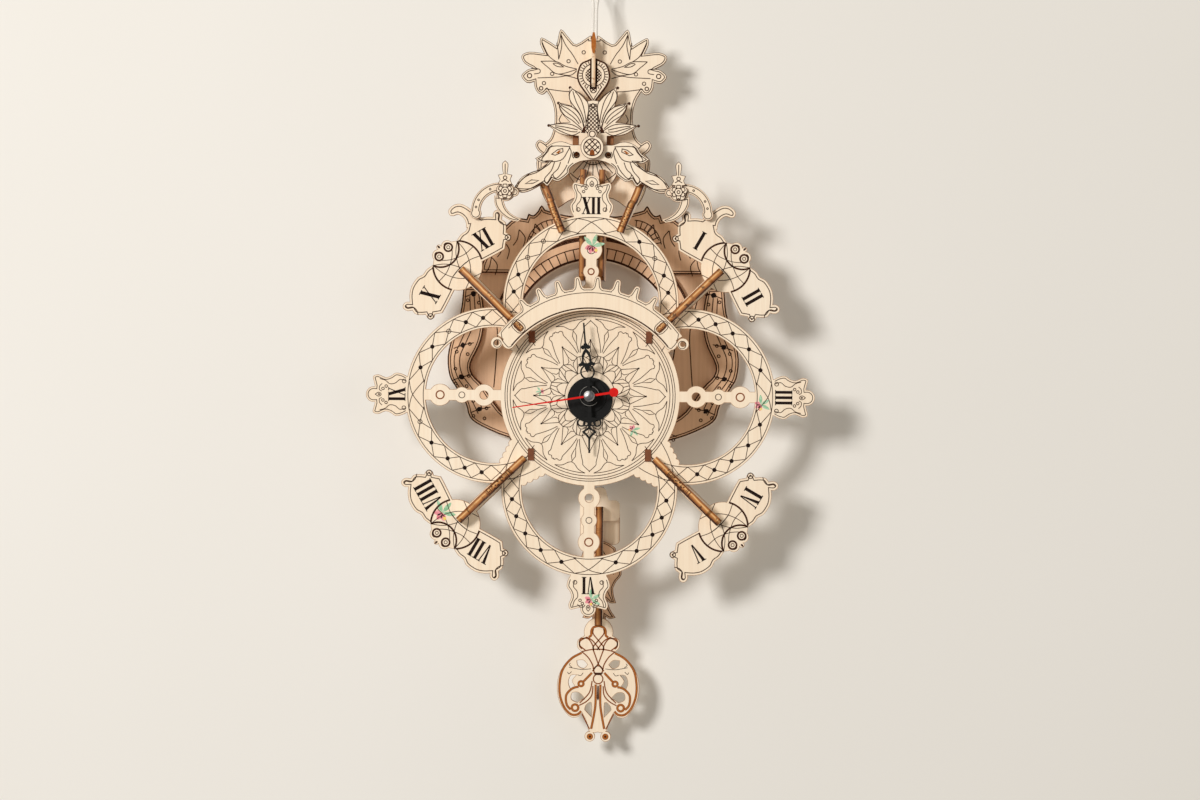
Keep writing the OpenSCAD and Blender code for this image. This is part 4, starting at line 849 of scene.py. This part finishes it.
def veined(left, right, shares=(0.33, 0.67)):
    """A leaf's two edges from foot to tip, and veins between them."""
    left, right = curve(left, 4), curve(right, 4)
    veins = [[tuple(np.array(p) * (1 - s) + np.array(q) * s) for p, q in zip(left, right)] for s in shares]
    return [left, right] + [vein[2:-2] for vein in veins]


def hatched(count, start, foot, rows, step, rise, inside):
    """Lines that cross in both directions, cut where they leave an outline."""
    lines = []
    for row in rows:
        for side in (-1, 1):
            line = [(side * (start + t * step), foot + row + t * rise) for t in range(count)]
            lines.append([p for p in line if inside(p)])
    return [line for line in lines if len(line) > 1]


# Palmette: three veined leaves on each side of a hatched column
leaves = (veined([(2.9, 133.6), (2.4, 139.4), (2.4, 146.2), (5.3, 150.5), (10.3, 153.7)],
                 [(4.1, 134.4), (6.6, 141.2), (11.2, 147.4), (11.9, 151.4), (10.5, 153.7)])
          + veined([(4.4, 134.2), (6.4, 140.6), (10.2, 144.6), (14.4, 145.8), (16.7, 146.4)],
                   [(5.6, 134), (10.2, 138), (14.2, 140.6), (16.3, 143.6), (16.8, 146.2)])
          + veined([(5.3, 133), (10.2, 135.8), (15.6, 136.4), (21.6, 135.7)],
                   [(6.3, 132.4), (10.2, 130.6), (15.6, 132.4), (21.6, 135.5)], (0.36, 0.66)))
half_width = lambda z: 1.5 + (146.6 - z) * 0.19
column = flipped([curve([(half_width(z), z) for z in (146.6, 142, 137, 132)], 3)])
column += hatched(21, -5, 131.6, [k * 1.95 for k in range(-5, 9)], 0.5, 0.525,
                  lambda p: 131.4 < p[1] < 146.8 and abs(p[0]) < half_width(p[1]))
engrave("palmette_lines", flipped(leaves), "crown_front")
engrave("palmette_column", column + [ring((0, 145.4), 1.1, 20)], "crown_front", STROKE)
feet = flipped([[(3.7, 131.7), (6, 131.9), (5.2, 133.6), (4.4, 135.6), (3.9, 134)]])
fill("palmette_feet", feet, "crown_front", STROKE)

# Bulb: rays round a hatched middle
BULB = (0, 161)
lines = [arc(BULB, 5.6, 10, 350, 6), ring((0, 153.6), 1.5, 20), [(-4.2, 155.2), (0, 148.6), (4.2, 155.2)],
         [(-1.2, 154.4), (1.2, 152.8)], [(1.2, 154.4), (-1.2, 152.8)]]
lines += [[polar(5.9, a, BULB), polar(7.3 if a % 24 else 6.7, a, BULB)] for a in range(14, 347, 12)]
lines += hatched(11, -4, BULB[1] - 3.6, [k * 1.5 for k in range(-4, 5)], 0.8, 0.85,
                 lambda p: math.dist(p, BULB) < 4.4 and abs(p[0]) > 1.1)
engrave("bulb_lines", lines, "crown_bulb", STROKE)
engrave("bulb_outline", rim("crown_bulb", 0.45), "crown_bulb", CHAR)

# Pineapple: a hatched disc
PINEAPPLE = (0, 124.4)
lines = [ring(PINEAPPLE, 4.2), ring((0, 131), 1.5)]
lines += hatched(17, -4, PINEAPPLE[1] - 4, [k * 2.8 for k in range(-3, 4)], 0.5, 0.5,
                 lambda p: math.dist(p, PINEAPPLE) < 4.1)
engrave("pineapple_lines", lines, "pineapple_ring", STROKE)
foot = [(-1.3, 120.5), (1.3, 120.5), (1, 122.6), (0, 123.6), (-1, 122.6)]
fill("pineapple_foot", [foot], "pineapple_ring", BOB_LINE)

# Keystone: a fan of lines below one point
FAN_TOP = 122.6
fan = lambda r, a: polar(r, 180 - a, (0, FAN_TOP))
lines = [[fan(5, a), fan(14.6 if abs(a) > 30 else 17.5, a * 0.96)] for a in range(-60, 61, 15)]
lines += [[fan(r, a) for a in range(-56, 57, 8)] for r in (6.4, 15.6)]
inside = lambda p: math.dist(p, (0, 116)) < 12.2 and p[1] > 103.8
dense = [[tuple(np.array(a) * (1 - t / 12) + np.array(b) * t / 12) for a, b in zip(line, line[1:])
          for t in range(12)] + [line[-1]] for line in lines]
clipped = [[p for p in line if inside(p)] for line in dense]
engrave("keystone_lines", [line for line in clipped if len(line) > 1], "keystone_fan")

# Swag: a contour, leaves with eyes and two rings
half = curves(
    4, [(11.3, 124.8), (20, 124.9), (22.4, 122.2), (25.2, 117.6), (16, 117.8), (12.3, 122.6), (11.3, 124.8)],
    [(11.4, 124.2), (10.6, 121.6), (12.2, 116.3)],
    [(15.9, 117), (17.2, 113.6), (19.7, 110.9), (17.9, 108.9), (14.4, 112.4), (12.6, 115.6)],
    [(18.9, 117), (20.6, 112.6), (23.8, 108.7), (22.6, 106.6), (20, 110.8)],
    [(22.4, 116.2), (25.8, 113.2), (31, 111.4), (35.2, 108), (38.4, 104.2), (31, 103.6), (24.6, 106.8)])
half += [[(20.4, 120.9), (17.4, 123.2), (14.9, 123.8), (14.7, 122.2), (18.6, 120.4), (20.4, 120.9)],
         [(33.5, 106), (30.4, 108), (26.8, 107.7), (29.6, 106.3), (33.5, 106)], ring((7.9, 120.6), 1.45, 15)]
lines = rim("swag_plate", 0.9, lambda x, z: abs(x) > 9 and z < 125.4)
engrave("swag_lines", lines + flipped(half), "swag_plate")
pupils = flipped([[(18.5, 121.4), (16.6, 122.9), (15.6, 122.7), (17, 121.3)]])
fill("swag_pupils", pupils, "swag_plate", BOB_STROKE)

# Scrolls and the rosettes on them, with a bud on a stem above
SCROLL_CENTRE = (46, 92)
ROSETTE_CENTRE = (43.4, 102.2)
for side, word in ((-1, "left"), (1, "right")):
    centre = (side * SCROLL_CENTRE[0], SCROLL_CENTRE[1])
    dots = [ring(polar(12.1, side * a, centre), 0.45, 40) for a in (24, 62, 80)]
    engrave(f"scroll_lines_{word}", rim(f"scroll_plate_{word}", 0.8) + dots, f"scroll_plate_{word}")
    centre = (side * ROSETTE_CENTRE[0], ROSETTE_CENTRE[1])
    flower = [ring(centre, 0.75, 30), ring(centre, 1.9)]
    for a in range(0, 360, 60):
        outline = ((1.9, a - 30), (3.4, a - 16), (3.4, a), (3.4, a + 16), (1.9, a + 30))
        flower.append(curve([polar(r, o, centre) for r, o in outline], 3))
    stem = [[(0, 8.2), (0, 13.6)], [(-1.8, 4.6), (0, 5.6), (1.8, 4.6)], ring((0, 6.6), 0.9, 20)]
    engrave(f"rosette_lines_{word}", flower + shifted(stem, *centre), f"rosette_{word}", STROKE)

# Back boards: bricks, bordering lines with bolt-like spots, and leaves on the scalloped board
BRICK_CENTRE = (0, 28)
BRICK_IN, BRICK_OUT, BRICK_LINE = 41.8, 47.2, 51
BRICK_ANGLES = np.arange(-67, 68, 5.4)
BORDER_SPOTS = ((66.2, 25.3), (66.6, 9.1), (57.4, -7.2), (60.8, 51.4), (38, -18.4))
PEARLS = ((3.2, 4.2), (-3.6, 0.6), (3, -3.4), (-2.6, -4.6))
SPOT_SIDES = 14
SPOT_R = 1.25
SPOT_RAGGED = 0.45


def spot_outline(x, z, seed):
    """A dark spot with a ragged outline."""
    draw = np.random.default_rng(seed)
    radii = SPOT_R * (1 + SPOT_RAGGED * (draw.random(SPOT_SIDES) - 0.4))
    step = 2 * math.pi / SPOT_SIDES
    return [(x + r * math.cos(k * step), z + r * math.sin(k * step)) for k, r in enumerate(radii)]


lines = [arc(BRICK_CENTRE, r, -68, 68) for r in (BRICK_IN, BRICK_OUT, BRICK_LINE)]
lines += [[polar(BRICK_IN, a, BRICK_CENTRE), polar(BRICK_OUT, a, BRICK_CENTRE)] for a in BRICK_ANGLES]
engrave("brick_lines", lines, "back_border", STROKE)
half = curves(5, [(60.6, 50), (60.2, 38), (64.4, 27), (67.6, 19), (66.4, 10.6), (60.6, 2.4), (56.2, -6.4)],
              [(62.8, 50), (62.8, 38), (67.2, 27), (70.4, 19), (69, 9.8), (63, 0.6), (58, -9.4)])
spots = []
for k, (x, z) in enumerate(BORDER_SPOTS):
    spots += [spot_outline(x, z, 11 + k), spot_outline(-x, z, 31 + k)]
    half += [ring((x + dx, z + dz), 0.7, 30) for dx, dz in PEARLS]
    half.append(curve([(x - 5.6, z + 1.2), (x, z), (x + 4.6, z - 1.8)], 4))
engrave("border_lines", rim("back_border", 1.5) + flipped(half), "back_border", STROKE)
fill("border_spots", spots, "back_border", INK)
half = [curve([(54, 54), (49, 34), (49.4, 18), (50.4, 4)], 5), [(41, 72.6), (56, 67.4)]]
engrave("back_lines", flipped(half), "back_plate", STROKE)
FAN_CENTRE = (20, 75)
FAN_IN, FAN_OUT = 10.6, 14.2
fans = [arc(FAN_CENTRE, r, 2, 82) for r in (FAN_IN, FAN_OUT)]
fans += [[polar(FAN_IN, a, FAN_CENTRE), polar(FAN_OUT, a, FAN_CENTRE)] for a in range(6, 83, 12)]
for spot in ((38, 84), (46, 78), (52, 70), (30, 87)):
    fans += shifted(curves(4, [(0, 0), (-3, -4), (-2, -9)], [(0, 0), (1, -5), (3, -8)]), *spot)
engrave("scallop_lines", rim("scalloped_board", 1.5) + flipped(fans), "scalloped_board", STROKE)

# Bob: thick orange-brown strokes with dark edges, and finer lines between them
BOB = "pendulum_bob"
BOB_DOT_PROUD = 0.08
strokes = flipped(curves(
    5, [(4.9, -121.6), (3.7, -120.6), (3.6, -118.4), (2.5, -116.6), (0, -115.8)],
    [(8.4, -129.5), (13.6, -132.5), (17.9, -138), (19.4, -144.9), (19.1, -151.4), (16.9, -157.2),
     (13.6, -160.5), (10.3, -160.6), (8.4, -158.9)],
    [(9.8, -146.6), (12.9, -147.5), (15.6, -150.1), (16.2, -152.7), (15.6, -156), (13.7, -158.1)],
    [(1.2, -145.4), (1.2, -155), (2, -161), (3.3, -167.8)])
    + [[(3.1, -139.5), (7.3, -143.9)], ring((8.6, -145.1), 1.25, 20), ring((11.5, -157.2), 1.65, 15),
       ring((3.9, -171.7), 1, 20)])
fine = flipped(curves(
    4, [(2.6, -117.4), (2.7, -119.8), (0, -123.2), (-2.6, -126.4), (-2.4, -128.2)],
    [(5.8, -121.6), (2.9, -123.4), (0, -127), (-0.6, -128.1)],
    [(8.6, -122.2), (9.6, -123.6), (9.2, -126), (6.6, -128.1)],
    [(8.6, -122.2), (5.2, -122.4), (2.9, -125.6), (2.4, -128.1)],
    [(8.4, -128.9), (5.1, -131.8), (2.8, -135.7), (2.5, -137.7)],
    [(3, -143.6), (4.4, -149.6), (9.2, -154.8)],
    [(9.4, -156), (5.8, -154), (3.1, -150.8), (2.6, -146.2)])
    + [[(2.6, -127.9), (0, -135), (-2.9, -138.7)], [(8, -160.3), (4.1, -168)]])
fine += [arc((0, -153.8), 26.2, -18.6, 18.6), ring((0, -138.2), 2.2), ring((0, -142.6), 2.4)]
hair = flipped(curves(4, [(3.6, -137.5), (8.6, -137.9), (14.8, -136.8)])
               + curves(3, [(13.2, -136.9), (14.6, -135.6), (14, -134.8)],
                        [(13.4, -139), (14.8, -140.2), (15.4, -139.2)],
                        [(7.6, -139.6), (8.8, -141), (10.4, -140.6)]))
strokes, fine, hair = (shifted(lines, PENDULUM_X, 0) for lines in (strokes, fine, hair))
fine += rim(BOB, 1.2, lambda x, z: -129 < z < -120.6)
engrave("bob_stroke_edges", strokes, BOB, BOB_LINE)
engrave("bob_strokes", strokes, BOB, BOB_STROKE, lift=0.02)
engrave("bob_lines", fine, BOB, BOB_LINE)
engrave("bob_hairlines", hair, BOB)
dots = [[(-0.35, -146), (0.35, -146), (0.5, -152.4), (0, -153.6), (-0.5, -152.4)],
        [(-2.5, -139.4), (2.5, -139.4), (1.6, -140.6), (-1.6, -140.6)]]
dots += flipped([ring((3.9, -171.7), 0.5, 30)])
eyes = flipped([ring((11.5, -157.2), 0.9, 30)])
fill("bob_dots", shifted(dots, PENDULUM_X, 0), BOB, STROKE, BOB_DOT_PROUD)
fill("bob_eyes", shifted(eyes, PENDULUM_X, 0), BOB, FRONT, BOB_DOT_PROUD)
half = curves(4, [(0.4, -76), (4, -82), (7.2, -90)], [(1, -92), (4, -98), (6.6, -103.4)],
              [(1, -100), (3.6, -106), (6.4, -110.8)])
lines = rim("pendulum_leaves", 0.9) + shifted(flipped(half), PENDULUM_X, 0)
engrave("leaf_lines", lines, "pendulum_leaves", STROKE)

# Outlines that the laser burnt along the boards' edges
OUTLINE_INSET = 0.01
OUTLINE_CLEAR = 0.5
OUTLINES = [(SCORCHED, 0.24, CHAR, "scorch"), (TOASTED, 0.2, TOAST, "toast"),
                (BACK_BOARDS, 0.7, STROKE, "scorch")]
for nodes, width, material, word in OUTLINES:
    for node in nodes:
        lines = rim(node, width / 2 + OUTLINE_INSET, clearance=OUTLINE_CLEAR)
        engrave(f"{node}_{word}", lines, node, material, width)

# Scorched bands, knots and arrises of the ribs and brackets, in shares of their length and mm across them
STICK_BANDS = ((0, 0.028), (0.1, 0.018), (0.155, 0.01), (0.4, 0.012), (0.8, 0.014), (0.86, 0.022),
               (0.972, 0.028))
STICK_KNOTS = ((0.19, -0.9, 0.09), (0.28, 0.5, 0.045), (0.34, -0.4, 0.06), (0.46, 0.8, 0.08),
               (0.52, -0.8, 0.1), (0.62, 0.1, 0.055), (0.69, -0.9, 0.08), (0.74, 0.7, 0.05),
               (0.91, -0.2, 0.04))
KNOT = ((0, 0), (0.3, 0.4), (0.8, 0.32), (1, -0.1), (0.6, -0.43))
# The lower arris is a burnt edge widened by painted shade on the side away from the light; the upper one is
# a thin burnt edge.
LOWER_ARRIS_AND_SHADE = [(0, -1.48), (1, -1.48), (1, -1.06), (0.7, -1.16), (0.45, -1), (0.2, -1.18)]
UPPER_ARRIS = box(0, 1.24, 1, 1.48)
BAND_HALF = 1.45
for node, angle in STICKS.items():
    axis = across_axis(angle)
    across, way = np.array((axis[0], axis[2])), np.array((-axis[2], axis[0]))
    marks, edges = [], []
    for loop in front_loops(node, 3):
        s, w = np.array(loop) @ way, np.array(loop) @ across
        start, length, side = s.min(), s.max() - s.min(), (w.min() + w.max()) / 2
        place = lambda spots: [tuple(way * (start + length * u) + across * (side + v)) for u, v in spots]
        marks += [place(box(share, -BAND_HALF, share + size, BAND_HALF)) for share, size in STICK_BANDS]
        marks += [place([(share + size * u, v + dv) for u, dv in KNOT]) for share, v, size in STICK_KNOTS]
        edges += [place(LOWER_ARRIS_AND_SHADE), place(UPPER_ARRIS)]
    fill(f"{node}_marks", marks, node, CHAR, 0.03)
    fill(f"{node}_edges", edges, node, CHAR, 0.045)


# Small painted sprigs of plain leaves, petals and a bud: centre, lean, size and board
def petal(centre, angle, length, width):
    tip = polar(length, angle)
    x, z = polar(length / 2, angle)
    dx, dz = polar(width / 2, angle + 90)
    points = [(0, 0), (x + dx, z + dz), tip, (x - dx, z - dz), (0, 0)]
    return shifted([curve(points, 5)], *centre)[0]


SPRIGS = {"top": ((0.6, 75), 20, 5, DIAL), "bottom": ((1.4, -101.8), 60, 4.2, DIAL),
          "right": ((85.4, -3.6), 60, 4, DIAL), "plate": ((-73.6, -59.2), 40, 5.4, NUMBER),
          "dial": ((21.6, -16.6), 140, 3, DIAL), "left": ((-24.6, 2.2), 260, 2.2, DIAL)}
for name, (centre, lean, size, board) in SPRIGS.items():
    leaves = [petal(centre, lean + a, size * 1.25, size * 0.42) for a in (-62, 0, 58)]
    petals = [petal(centre, lean + 180 + a, size * 0.8, size * 0.5) for a in (-50, 0, 50)]
    bud = ring(polar(size * 0.55, lean + 120, centre), size * 0.16, 30)
    fill(f"sprig_leaves_{name}", leaves, board, LEAF_PAINT, 0.03)
    fill(f"sprig_petals_{name}", petals, board, PETAL_PAINT, 0.04)
    fill(f"sprig_bud_{name}", [bud], board, BUD_PAINT, 0.06)

# Stage: a pale wall and floor that show only from their front side
WALL_GAP = 0.0006
FLOOR_DROP = 2.4
STAGE_SIZE = 6.0


def stage_material():
    material, tree, shader = sheet("stage_paint")
    tone = ramp(tree, noise(tree, 3, 2), (0.3, (0.80, 0.785, 0.75)), (0.7, (0.82, 0.805, 0.775)))
    link(tree, tone, shader.inputs["Base Color"])
    shader.inputs["Roughness"].default_value = 0.9
    shader.inputs["Specular IOR Level"].default_value = 0.1
    side = tree.nodes.new("ShaderNodeNewGeometry")
    clear = tree.nodes.new("ShaderNodeBsdfTransparent")
    mix = tree.nodes.new("ShaderNodeMixShader")
    link(tree, side.outputs["Backfacing"], mix.inputs["Fac"])
    link(tree, shader.outputs[0], mix.inputs[1])
    link(tree, clear.outputs[0], mix.inputs[2])
    link(tree, mix.outputs[0], tree.nodes["Material Output"].inputs["Surface"])
    return material


paint = stage_material()
half, floor, ceiling = STAGE_SIZE / 2, -FLOOR_DROP, STAGE_SIZE - FLOOR_DROP
SHEETS = {"wall": [(x, WALL_GAP, z) for x, z in box(-half, floor, half, ceiling)],
          "floor": [(x, y, floor) for x, y in box(-half, -STAGE_SIZE, half, WALL_GAP)]}
for name, points in SHEETS.items():
    mesh = bpy.data.meshes.new(name)
    mesh.from_pydata(points, [], [(0, 1, 2, 3)])
    mesh.materials.append(paint)
    piece = bpy.data.objects.new(name, mesh)
    bpy.context.collection.objects.link(piece)
    for kind in ("diffuse", "glossy", "transmission", "shadow"):
        setattr(piece, f"visible_{kind}", False)

# Soft studio light: name, place, watts, size and colour
LAMPS = (("key", (-1.2, -2.1, 0.48), 45.5, 0.55, (1.0, 0.975, 0.945)),
         ("fill", (1.6, -2.4, -0.1), 6, 1.6, (1.0, 0.97, 0.93)),
         ("back_left", (-1.2, 1.9, 0.6), 18, 1.2, (1, 1, 1)),
         ("back_right", (1.5, 1.7, 0.2), 14, 1.2, (1, 1, 1)))
LIT_POINT = at(0, 0, 20)
WORLD_COLOUR = (1.0, 0.93, 0.82, 1)
WORLD_STRENGTH = 0.36
for name, place, energy, size, colour in LAMPS:
    data = bpy.data.lights.new(name, "AREA")
    data.energy = energy
    data.size = size
    data.color = colour
    light = bpy.data.objects.new(name, data)
    bpy.context.collection.objects.link(light)
    aim = Vector(place) - LIT_POINT
    light.matrix_world = Matrix.Translation(place) @ aim.to_track_quat("Z", "Y").to_matrix().to_4x4()
world = bpy.data.worlds.new("studio")
bpy.context.scene.world = world
world.use_nodes = True
background = world.node_tree.nodes["Background"]
background.inputs["Color"].default_value = WORLD_COLOUR
background.inputs["Strength"].default_value = WORLD_STRENGTH
bpy.context.scene.view_settings.view_transform = "Standard"
